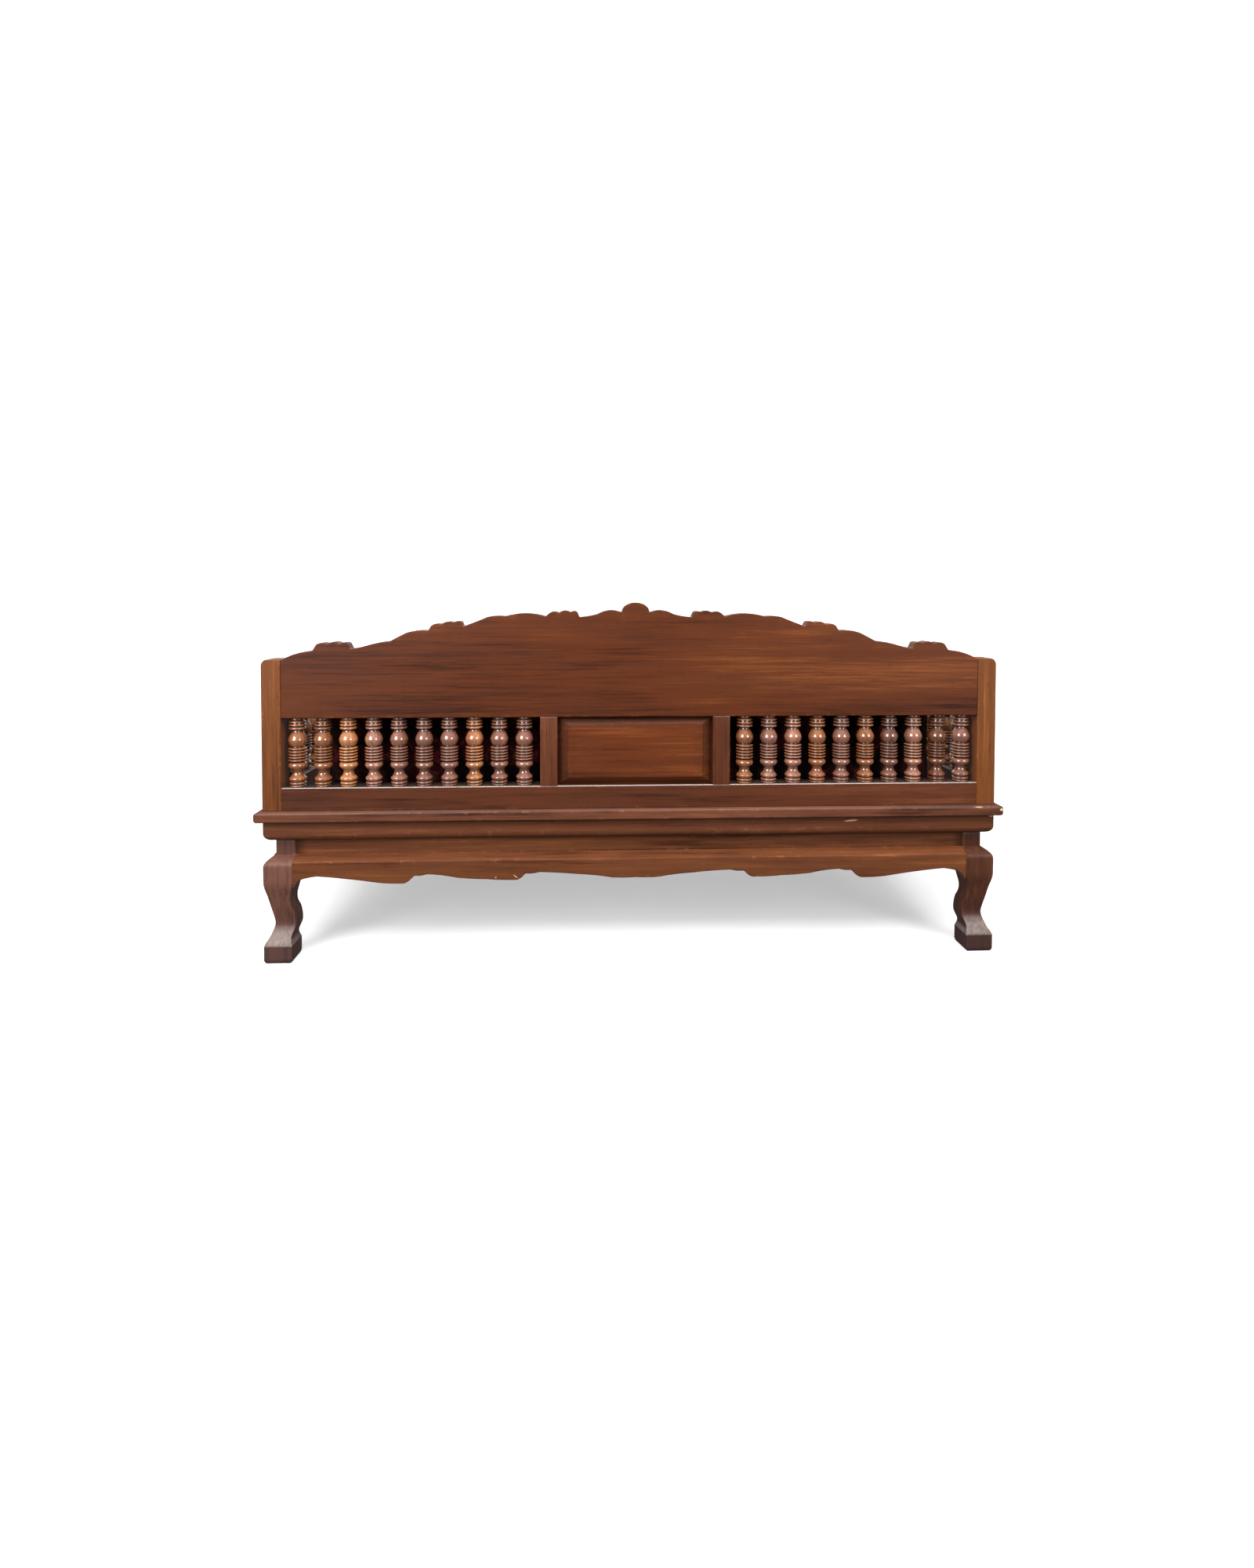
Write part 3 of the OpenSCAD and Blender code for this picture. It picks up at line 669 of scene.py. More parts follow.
@dataclass(frozen=True)
class Timber:
    """Stained and lacquered timber.

    Rings are bands of the distance from the heart of the log, bent by slow noise along the board.
    Fibres and pores are noise drawn out along the board, and broad patches shift the stain.
    """

    name: str
    dark: Rgb
    mid: Rgb
    light: Rgb
    flame: Rgb
    ring: float = 5.5 * MM
    bands: float = 0.07
    figure: float = 0.17
    clouds: float = 0.22
    gleam: float = 0.2
    wave: float = 0.5 * MM
    rough: float = 0.36
    coat: float = 0.0
    coat_rough: float = 0.18
    coat_ior: float = 1.5
    wear: float = 0.5
    dust: float = 0.25
    spread: float = 0.22
    flamed: float = 0.4
    scars: tuple[Scar, ...] = ()

    def material(self) -> bpy.types.Material:
        """Wire the finish.

        Returns:
            The material.
        """
        g = Graph(self.name)
        at, tint = g.attribute("fibre", "Vector"), g.attribute("tint")
        wander = g.noise(at, WANDER_CELLS, 2.0, output="Color")
        bend = g.vector("MULTIPLY", g.vector("SUBTRACT", wander, (0.5, 0.5, 0.5)), (0.0, 0.05, 0.03))
        bent = g.vector("ADD", g.vector("MULTIPLY", at, (0.01, 1.0, 1.0)), bend)
        heart = g.vector("LENGTH", bent, output="Value")
        band = g.math("FRACT", g.total(g.math("DIVIDE", heart, self.ring),
                                       g.noise(at, (1.5, 30.0, 30.0), 2.0)))
        late = g.times(g.span(band, 0.3, 0.93), g.span(band, 0.93, 1.0, 1.0, 0.0))
        strand = g.noise(at, STRAND_CELLS, 5.0, 0.72)
        streak = g.noise(at, STREAK_CELLS, 3.0, 0.6)
        cloud = g.noise(at, CLOUD_CELLS, 3.0, 0.6)
        smoke = g.noise(at, SMOKE_CELLS, 3.0, 0.6, warp=0.3)
        pores = g.span(g.noise(at, THREAD_CELLS, 2.0, 0.6), 0.6, 0.72)
        tone = g.total(g.span(strand, 0.25, 0.75, 0.5 - self.figure, 0.5 + self.figure),
                       g.times(late, -self.bands),
                       g.span(streak, 0.3, 0.7, -0.6 * self.figure, 0.6 * self.figure),
                       g.span(cloud, 0.3, 0.7, -self.clouds, self.clouds),
                       g.times(tint, self.spread))
        colour = g.ramp(tone, ((0.0, self.dark), (0.5, self.mid), (1.0, self.light)))
        colour = g.mix(g.times(g.span(smoke, 0.45, 0.75), self.flamed), colour, self.flame)
        colour = g.mix(g.times(pores, 0.5), colour, tuple(0.35 * c for c in self.dark))
        chafe = g.noise(g.place(), CHAFE_CELLS, 5.0, 0.7)
        worn = g.math("MULTIPLY", g.attribute("worn"), g.span(chafe, 0.52, 0.74), clamp=True)
        pale = tuple(min(1.0, 1.5 * c + 0.01) for c in self.light)
        colour = g.mix(g.times(worn, self.wear), colour, pale)
        # Grime and painted shade: this darkens towards a quarter of the dark stain at dark joints, and
        # also paints shade into grooves, bevels and ledges.
        colour = g.mix(g.times(g.attribute("grime"), 0.8), colour, tuple(0.25 * c for c in self.dark))
        colour, bare = self.marked(g, colour)
        colour, dusty = self.dusted(g, colour)
        matt = g.total(g.span(smoke, 0.3, 0.8, self.rough - 0.05, self.rough + 0.07),
                       g.times(g.total(worn, bare, dusty), 0.25))
        relief = g.math("SUBTRACT", strand, g.times(pores, 0.8))
        relief = g.math("SUBTRACT", relief, g.times(bare, 1.2))
        tilt = g.bump(g.noise(at, WAVE_CELLS, 2.0), self.wave)
        g.surface({"Base Color": colour,
                   "Roughness": g.math("ADD", matt, g.times(pores, 0.12), clamp=True),
                   "Specular IOR Level": self.gleam, "Coat Weight": self.coat,
                   "Coat Roughness": self.coat_rough, "Coat IOR": self.coat_ior,
                   "Normal": g.bump(relief, 0.06 * MM, tilt), "Coat Normal": tilt})
        return g.skin

    def marked(self, g: Graph, colour: object) -> tuple[object, object]:
        """Lay the scars over a colour.

        Args:
            g: The material's graph.
            colour: Colour under the scars.

        Returns:
            The marked colour, and where the lacquer is broken, from 0 to 1.
        """
        bare: object = 0.0
        for scar in self.scars:
            node = g.tree.nodes.new("ShaderNodeMapping")
            node.vector_type = "TEXTURE"
            node.inputs["Location"].default_value = scar.at
            node.inputs["Rotation"].default_value = (0.0, np.radians(scar.turn), 0.0)
            node.inputs["Scale"].default_value = scar.half
            g.feed(node.inputs["Vector"], g.place())
            far = g.vector("LENGTH", node.outputs[0], output="Value")
            torn = g.math("SUBTRACT", g.noise(g.place(), TORN_CELLS, 3.0, 0.6), 0.5)
            here = g.span(g.total(far, g.times(torn, 2 * scar.ragged)), 0.75, 1.0, 1.0, 0.0)
            colour = g.mix(here, colour, scar.colour)
            bare = g.math("MAXIMUM", bare, here)
        return colour, bare

    def dusted(self, g: Graph, colour: object) -> tuple[object, object]:
        """Scuff the lowest part grey, then lay dust on faces that look upwards.

        The dust is thicker near the floor, and on the feet it holds on slopes as well.

        Args:
            g: The material's graph.
            colour: Colour under the dust.

        Returns:
            The dusty colour, and how thick the dust is, from 0 to 1.
        """
        upward, height = g.split(g.normal())[2], g.split(g.place())[2]
        foot = g.span(height, 0.07, 0.11, 1.0, 0.0)
        near_floor = g.span(height, 0.08, 0.14, 1.0, self.dust)
        colour = g.mix(g.span(height, 0.02, 0.17, 0.6, 0.0), colour, SCUFF_GREY)
        sloped = g.times(g.span(upward, 0.03, 0.42, 0.0, 0.55), foot)
        flat = g.math("MAXIMUM", g.span(upward, 0.35, 0.8), sloped)
        drift = g.span(g.noise(g.place(), DRIFT_CELLS, 4.0, 0.65), 0.25, 0.7, 0.35, 0.85)
        thick = g.times(g.times(flat, near_floor), drift)
        thick = g.times(thick, g.math("SUBTRACT", 1.0, g.attribute("grime")))
        return g.mix(thick, colour, DUST_GREY), thick


@dataclass(frozen=True)
class RawWood:
    """Bare sawn wood with fibres along one axis of the bench."""

    name: str
    pale: Rgb
    deep: Rgb
    cells: tuple[float, float, float]

    def material(self) -> bpy.types.Material:
        """Wire the finish and return it."""
        g = Graph(self.name)
        strand = g.noise(g.place(), self.cells, 5.0, 0.65)
        cloud = g.noise(g.place(), 9.0)
        tone = g.math("ADD", g.span(strand, 0.25, 0.75), g.span(cloud, 0.3, 0.7, -0.3, 0.2), clamp=True)
        g.surface({"Base Color": g.ramp(tone, ((0.0, self.deep), (1.0, self.pale))),
                   "Roughness": g.span(strand, 0.3, 0.7, 0.55, 0.75),
                   "Normal": g.bump(strand, 0.15 * MM)})
        return g.skin


@dataclass(frozen=True)
class ScrewSteel:
    """Dull zinc on a screw, with turning marks and a few dark spots."""

    name: str = "zinc_screw"

    def material(self) -> bpy.types.Material:
        """Wire the finish and return it."""
        g = Graph(self.name)
        spots = g.noise(g.place(), 900.0, 4.0, 0.7)
        zinc = g.ramp(spots, ((0.3, shade(120, 112, 96)), (0.7, shade(190, 184, 170))))
        g.surface({"Metallic": 1.0, "Base Color": zinc, "Roughness": g.span(spots, 0.3, 0.7, 0.5, 0.3),
                   "Normal": g.bump(spots, 0.03 * MM)})
        return g.skin


# ---- sub-assemblies -------------------------------------------------------------------------


@dataclass
class Leg:
    """Cabriole leg, square in plan, drawn as setback from its outer face against height."""

    side: Side
    end: End
    outer: float = 0.981
    face: float = 0.356
    neck: float = 25.0
    knee: float = 76.0
    top: float = 325.0
    pin: float = 350.0
    round_edge: float = 2.2 * MM

    def outline(self) -> tuple[Array, Array, Array]:
        """Work out heights with the outer and inner setbacks, all in millimetres.

        Both sides are smooth curves through the carver's key points, sampled at shared heights.

        Returns:
            Heights, outer setbacks and inner setbacks.
        """
        out = smooth_through([[46, 0], [54, 3], [67, 11], [87, 19], [100, 22], [114, 21], [143, 15],
                              [177, 8], [207, 1], [235, 0], [258, 0]], 10)
        out = np.vstack([[[0, 9], [1.0, 5], [3.5, 2.2], [10, 0]], out,
                         [[262, 0.5], [266, 1.8], [270, 4.6], [274, 8.6], [278, 13.6], [285, 25],
                          [286, 25]]])
        inner = smooth_through([[46, 73], [66, 68], [88, 75], [106, 76], [130, 73], [150, 67],
                                [170, 66], [198, 72], [216, 76]], 10)
        inner = np.vstack([[[0, 64], [1.0, 68], [3.5, 70.8], [10, 73]], inner, [[286, 76]]])
        z = np.concatenate([[0, 0.4, 1.0, 2, 3.5, 6, 10], np.arange(14, 46, 6), np.arange(46, 264, 2.5),
                            [264, 266, 268, 268.8, 269.6, 270.2, 270.8, 271.4, 272, 275, 279, 283,
                             284.4, 285]])
        return z, np.interp(z, out[:, 0], out[:, 1]), np.interp(z, inner[:, 0], inner[:, 1])

    def shell(self) -> Shell:
        """Carry the square section up the leg, then add the neck block and the pin on top.

        Returns:
            The leg's shell.
        """
        z, out, inner = self.outline()
        z = np.concatenate([z, [285.6, 288, 300, 312, 324, self.top, self.top, self.top + 1, self.pin]])
        out = np.concatenate([out, [self.neck] * 5, [self.neck + 1, 35, 35, 35]]) * MM
        inner = np.concatenate([inner, [self.knee] * 5, [self.knee - 1, 63, 63, 63]]) * MM
        corners = rectangles(-inner, -inner, -out, -out) + [self.outer, self.face]
        loop, worn = rounded_sections(corners, np.full(corners.shape[:2], self.round_edge))
        # Darker from the knee bevel up over the neck block.
        knee_neck_darkening = np.interp(z, [262, 275, 284, 286], [0, 0.15, 0.3, 0.42])
        shell = self.side.sided(Shell(carried(z * MM, loop, 2),
                                      np.maximum(worn, ((z < 9) * 0.7)[:, None]),
                                      np.repeat(knee_neck_darkening[:, None], worn.shape[1], axis=1)))
        return shell if self.end is End.FRONT else shell.mirrored(1)

    def build(self, maker: Maker) -> None:
        """Make the leg; the two on the left have the greyer stain.

        Args:
            maker: Maker of the pieces.
        """
        name = f"leg_{self.end.name.lower()}_{self.side.name.lower()}"
        stain = "leg_timber" if self.side is Side.RIGHT else "leg_timber_grey"
        maker.piece(name + "_carved", name, [self.shell()], "leg_timber", Grain.ALONG_Z,
                    0.05 * self.side.value, skin=maker.woods[stain])


def long_edge() -> Array:
    """Lower edge of a long apron from its middle to a leg, in millimetres."""
    return np.vstack([chain([[0, 219, -1], [62, 219, 1.5], [150, 229, 1], [254, 236, -2], [290, 233, -6],
                             [321, 216, -1], [392, 219, -1], [470, 224, 2], [548, 234, -2],
                             [580, 231, -6], [613, 210, -2], [700, 217, 1], [830, 232, 1],
                             [872, 224, 4], [893, 198]]), [[893, 198]]])


def end_edge() -> Array:
    """Lower edge of an end apron from its middle to a leg, in millimetres."""
    return np.vstack([chain([[0, 218, -1], [36, 218, 2], [88, 230, 1], [112, 229, -5], [140, 214, -1],
                             [185, 219, 1], [222, 228, 7], [255, 198]]), [[255, 198]]])


@dataclass
class BaseSide:
    """Apron, neck rail and mitred moulding on one side of the base, drawn for the front.

    The side is carried to its place by quarter turns about Z, of which the ends take an odd number.
    """

    name: str
    turn: int
    top: float = 285 * MM
    neck_top: float = 325 * MM
    seat_bot: float = 380 * MM
    thick: float = 42 * MM
    ease: float = 0.8 * MM
    fillet_in: float = 24 * MM
    long_side: bool = field(init=False)
    half: float = field(init=False)
    face: float = field(init=False)
    edge: Array = field(init=False)

    def __post_init__(self) -> None:
        """Choose the drawing: the long one for the front and rear, the short one for the ends."""
        self.long_side = self.turn % 2 == 0
        self.half, self.face = (0.905, 0.356) if self.long_side else (0.280, 0.981)
        self.edge = long_edge() if self.long_side else end_edge()

    def turned(self, shell: Shell) -> Shell:
        """Turn a shell from the front to this side, in quarter turns about Z."""
        rings = shell.rings.copy()
        for _ in range(self.turn):
            rings = np.stack([-rings[..., 1], rings[..., 0], rings[..., 2]], axis=-1)
        return Shell(rings, shell.worn, shell.grime)

    def apron(self) -> Shell:
        """Board with a sloped top and a scalloped foot, one section for each station.

        Returns:
            The apron's shell.
        """
        at, shrink = eased_run(-self.half, self.half, self.ease, 3 * MM, 3)
        drawn = self.edge[-1, 0] * MM
        foot = np.interp(np.abs(at) / self.half * drawn, self.edge[:, 0] * MM, self.edge[:, 1] * MM)
        foot = softened(np.column_stack([at, foot]), 2.2 * MM, 3 * MM)[:, 1] + shrink
        same, face = np.ones_like(at), self.face - shrink
        inside = (self.face - self.thick) * same
        corners = np.stack([inside, foot, face, foot, face, 270 * MM * same, face - 25 * MM,
                            self.top * same, inside, self.top * same], axis=1).reshape(-1, 5, 2)
        radii = np.tile(np.array([1.5, 2.2, 2.6, 0.5, 0.8]) * MM, (len(at), 1))
        loop, worn = rounded_sections(corners, radii, 6)
        ends = shrink[:, None] * np.ones_like(worn)
        return self.turned(Shell(carried(at, loop, 0), np.maximum(worn, (ends > 0) * 0.5),
                                 0.9 * np.clip(ends / self.ease, 0, 1)))

    def neck_rail(self) -> Shell:
        """Plain rail set back between the apron and the moulding, with dirt at its end joints."""
        shell = bar([-self.half, self.face - 55 * MM, self.top],
                    [self.half, self.face - 25 * MM, self.neck_top], 0, 0.6 * MM, 0.6 * MM)
        shell.grime = 0.9 * (np.abs(shell.rings[..., 0]) > self.half - 1.2 * MM)
        return self.turned(shell)

    def moulding(self) -> Shell:
        """Upright fillet over a quarter round, cut at 45 degrees at both ends.

        Returns:
            The moulding's shell.
        """
        out = self.face - MM
        reach = self.half + 75 * MM
        low, high, ledge = self.neck_top, self.seat_bot, self.seat_bot - 2 * MM
        corners = np.array([[out - 80 * MM, low], [out, low], [out, ledge],
                            [out - self.fillet_in, ledge], [out - self.fillet_in, high],
                            [out - 80 * MM, high]])
        radii = np.array([0.5, 25.0, 3.0, 0.4, 0.4, 0.5]) * MM
        step = np.linspace(-1.0, 1.0, 121 if self.long_side else 51)[:, None]
        loop, worn = rounded_sections(np.tile(corners, (len(step), 1, 1)),
                                      np.tile(radii, (len(step), 1)), 10)
        at = step * (reach - (out - loop[..., 0]) - 0.15 * MM)
        # Painted shade: the ledge under the seat's nosing is darkened almost to black.
        under = (loop[..., 1] > ledge - 0.1 * MM) & (loop[..., 0] > out - self.fillet_in - 0.5 * MM)
        return self.turned(Shell(carried(at, loop, 0), worn, 0.95 * under))

    def build(self, maker: Maker) -> None:
        """Make this side's three pieces.

        Args:
            maker: Maker of the pieces.
        """
        grain = Grain.ALONG_X if self.long_side else Grain.ALONG_Y
        maker.piece(f"apron_{self.name}_scalloped", f"apron_{self.name}", [self.apron()],
                    "base_timber", grain, 0.1, pith=(0.02, 0.05))
        maker.piece(f"neck_rail_{self.name}_plain", f"neck_rail_{self.name}", [self.neck_rail()],
                    "base_timber", grain, -0.35)
        maker.piece(f"moulding_{self.name}_mitred", f"waist_moulding_{self.name}", [self.moulding()],
                    "moulding_timber", grain, 0.0)


@dataclass
class Seat:
    """Four planks edge to edge with one rounded nosing round them all."""

    half_x: float = 1.0
    half_y: float = 0.375
    low: float = 380 * MM
    high: float = 406 * MM
    nosing: float = 5 * MM
    under: float = 4 * MM
    end: float = 11 * MM
    gap: float = 0.1 * MM
    names: tuple[str, ...] = ("rear", "mid_rear", "mid_front", "front")
    tints: tuple[float, ...] = (-0.1, 0.4, -0.3, 0.2)

    def plank(self, index: int) -> Shell:
        """One plank along X; only the sides on the seat's rim are rounded.

        Args:
            index: Place of the plank from the rear.

        Returns:
            The plank's shell.
        """
        width = 2 * self.half_y / len(self.names)
        y0 = -self.half_y + index * width
        at, shrink = eased_run(-self.half_x, self.half_x, self.end, 0.02, 8)
        rear, front = index == 0, index == len(self.names) - 1
        y1 = y0 + width - (shrink if front else self.gap + 0 * shrink)
        corners = rectangles(y0 + (shrink if rear else self.gap + 0 * shrink), self.low + shrink, y1,
                             self.high - shrink)
        radii = np.array([self.under if rear else 0.6 * MM, self.under if front else 0.6 * MM,
                          self.nosing if front else 0.8 * MM, self.nosing if rear else 0.8 * MM])
        s = shrink[:, None]
        loop, worn = rounded_sections(corners, np.maximum(radii - s * (radii > 2 * MM), 0.3 * MM), 8)
        return Shell(carried(at, loop, 0), np.maximum(worn * 0.8, (s > 0) * 0.6))

    def build(self, maker: Maker) -> None:
        """Make the planks.

        Args:
            maker: Maker of the pieces.
        """
        for index, (name, tint) in enumerate(zip(self.names, self.tints)):
            maker.piece(f"seat_plank_{name}_nosed", f"seat_plank_{name}", [self.plank(index)],
                        "seat_timber", Grain.FLAT_X, tint)


@dataclass
class WavyBoard:
    """Upright board with a carved top edge and eased arrises."""

    outline: Array
    low: float
    near: float
    thick: float
    ease: float = 2.2 * MM
    gap: float = 1.8 * MM

    def shell(self) -> Shell:
        """Carry the board's section along its top edge.

        At each point P of the edge, with n the unit normal that points into the board, the wall
        and its two rounded arrises lie at P + n * s, where s goes from the easing radius to nothing
        and back, and the two faces drop straight down from there to the lower arrises.

        Returns:
            The shell, with the edge along X and the faces looking along -Y and +Y.
        """
        edge = softened(respaced(self.outline * MM, self.gap), 1.1 * MM, self.gap)
        slope = np.gradient(edge, axis=0)
        slope /= np.linalg.norm(slope, axis=1, keepdims=True)
        into = np.column_stack([slope[:, 1], -slope[:, 0]])
        into[0], into[-1] = (0, -1), (0, -1)
        e, y0, y1 = self.ease, self.near, self.near + self.thick
        a = np.linspace(0.0, np.pi / 2, 6)
        set_in = np.concatenate([e * (1 - np.sin(a)), [0, 0], e * (1 - np.sin(a[::-1]))])
        depth = np.concatenate([y0 + e * (1 - np.cos(a)), [y0 + 0.3 * self.thick, y0 + 0.7 * self.thick],
                                y1 - e * (1 - np.cos(a[::-1]))])
        crown = np.stack([edge[:, :1] + into[:, :1] * set_in, np.tile(depth, (len(edge), 1)),
                          edge[:, 1:] + into[:, 1:] * set_in], axis=2)
        drop = np.concatenate([[0.012, 0.05], np.linspace(0.15, 0.97, 6)])
        top, foot = crown[:, -1, 2:], self.low + e
        back = np.stack([np.repeat(crown[:, -1:, 0], len(drop), 1), np.full((len(edge), len(drop)), y1),
                         top + (foot - top) * drop], axis=2)
        base_y = np.concatenate([y1 - e * (1 - np.cos(a)), y0 + e * (1 - np.cos(a[::-1]))])
        base_z = np.concatenate([foot - e * np.sin(a), foot - e * np.sin(a[::-1])])
        sole = np.stack([np.repeat(crown[:, -1:, 0], len(base_y), 1), np.tile(base_y, (len(edge), 1)),
                         np.tile(base_z, (len(edge), 1))], axis=2)
        front = back[:, ::-1].copy()
        front[..., 1] = y0
        rings = np.concatenate([crown, back, sole, front], axis=1)
        near = np.concatenate([np.ones(6), [0.35, 0.35], np.ones(6), [0.6, 0.2], np.zeros(6),
                               np.ones(12), np.zeros(6), [0.2, 0.6]])
        shell = Shell(rings, np.tile(near, (len(edge), 1)), np.zeros(rings.shape[:2]))
        for row in (0, -1):
            shell.rings[row, :, 1] = np.clip(shell.rings[row, :, 1], y0 + 0.8 * MM, y1 - 0.8 * MM)
            shell.grime[row] = 0.9
        return shell


def crest_half() -> Array:
    """Top edge of the crest board from the middle to a post, in millimetres."""
    a = np.radians(np.arange(90, -1, -7.5))
    return np.vstack([
        np.column_stack([36 * np.cos(a), 932 + 24 * np.sin(a)]),
        chain([[41, 931.5, 7], [100, 926, -1.5], [149, 917.5]]),
        lobed_block([150, 917.5], [156, 931.5], [229, 928], [238, 920.5]),
        bow([239, 919.5], [346, 919.5], 8, 20), chain([[346, 919.5, 2], [391, 918, -0.5], [455, 893]]),
        lobed_block([456, 893], [462, 905.5], [540, 894], [547, 882]),
        chain([[548, 881.5, 3], [604, 876, 0.5], [648, 853, 1.5], [700, 844.5, -1], [749, 833.5]]),
        lobed_block([750, 833.5], [757, 848.5], [838, 845], [848, 829]),
        bow([849, 828], [931, 803.5], 5.5, 16), [[931, 803.5]]])


@dataclass
class Spindle:
    """Turned spindle with two balls, five rings between them and collars at its ends."""

    x: float
    y: float
    low: float = 467 * MM
    high: float = 651 * MM
    tenon: float = 18 * MM
    around: int = 56

    @staticmethod
    def profile() -> Array:
        """Radius against height for a clear height of 178 mm, as a chain of beads and curves.

        Returns:
            Rows of radius and height in millimetres.
        """
        foot = smooth_through([[21.4, 23.4], [17.5, 27.5], [14.5, 32.5], [13.6, 38], [16, 43],
                               [22, 49], [24, 54], [22, 60], [16.5, 64.5]], 5)
        ball = smooth_through([[16, 103.5], [20.5, 107.5], [24, 118.5], [22.5, 127], [18, 136],
                               [14.5, 142], [13.8, 146]], 6)
        return np.vstack([
            [[17.5, 0]], bead(0.4, 4.8, 17, 20.4, 8), bead(6.2, 12.8, 17, 21.8, 8),
            [[16.8, 14.2], [20, 15.4], [22, 17.4], [22.7, 20], [22.4, 21.8]], foot,
            *[bead(65.5 + 7.6 * i, 70.9 + 7.6 * i, 17.5, 24, 9) for i in range(5)], ball,
            bead(147.2, 154, 17.5, 22.5, 8), bead(156, 162, 17.5, 22.3, 8),
            bead(164, 169.8, 17.2, 21.8, 8),
            [[15.5, 171.2], [16.8, 172], [17.4, 173.2], [17.4, 175.8], [16.3, 177.2], [14, 178]]])

    def shell(self, dice: np.random.Generator) -> Shell:
        """Turn the profile about the spindle's axis, with small slips of the turner's hand.

        A point at height z and angle a lies at radius r(z) round the axis. Grime and painted shade
        sit where r is less than its own average over a short height.

        Args:
            dice: Source of the small differences between spindles.

        Returns:
            The spindle's shell.
        """
        line = self.profile()
        tall = line[:, 1] / 178
        slip = 0.5 * np.sin(2 * np.pi * (tall * dice.uniform(0.8, 1.6) + dice.uniform(0, 1)))
        radius = line[:, 0] - dice.uniform(0.05, 0.45) - 0.15 * (1 + slip)
        height = self.low + (tall + 0.006 * slip * np.sin(np.pi * tall)) * (self.high - self.low)
        broad = np.interp(tall[:, None] + np.linspace(-0.03, 0.03, 9), tall, radius).mean(1)
        # Grime and painted shade: the grooves darken by how far r dips below its local average.
        deep = np.clip((broad - radius) / 2.0, 0, 1)
        proud = np.clip((radius - broad) / 2.0, 0, 1)
        radius = np.concatenate([[0.5, 7, 8, 8], radius, [8, 8, 7, 0.5]])
        foot, head = self.low - self.tenon, self.high + self.tenon
        height = np.concatenate([[foot, foot, foot + MM, self.low], height,
                                 [self.high, head - MM, head, head]])
        deep = np.concatenate([[0, 0, 0, 1], deep, [1, 0, 0, 0]])
        proud = np.concatenate([np.zeros(4), proud, np.zeros(4)])
        a = np.arange(self.around) * 2 * np.pi / self.around
        ring = radius[:, None] * MM
        rings = np.stack([self.x + ring * np.cos(a), self.y + ring * np.sin(a),
                          np.repeat(height[:, None], self.around, 1)], axis=2)
        spread = np.ones(self.around)
        return Shell(rings, proud[:, None] * spread, deep[:, None] * spread)


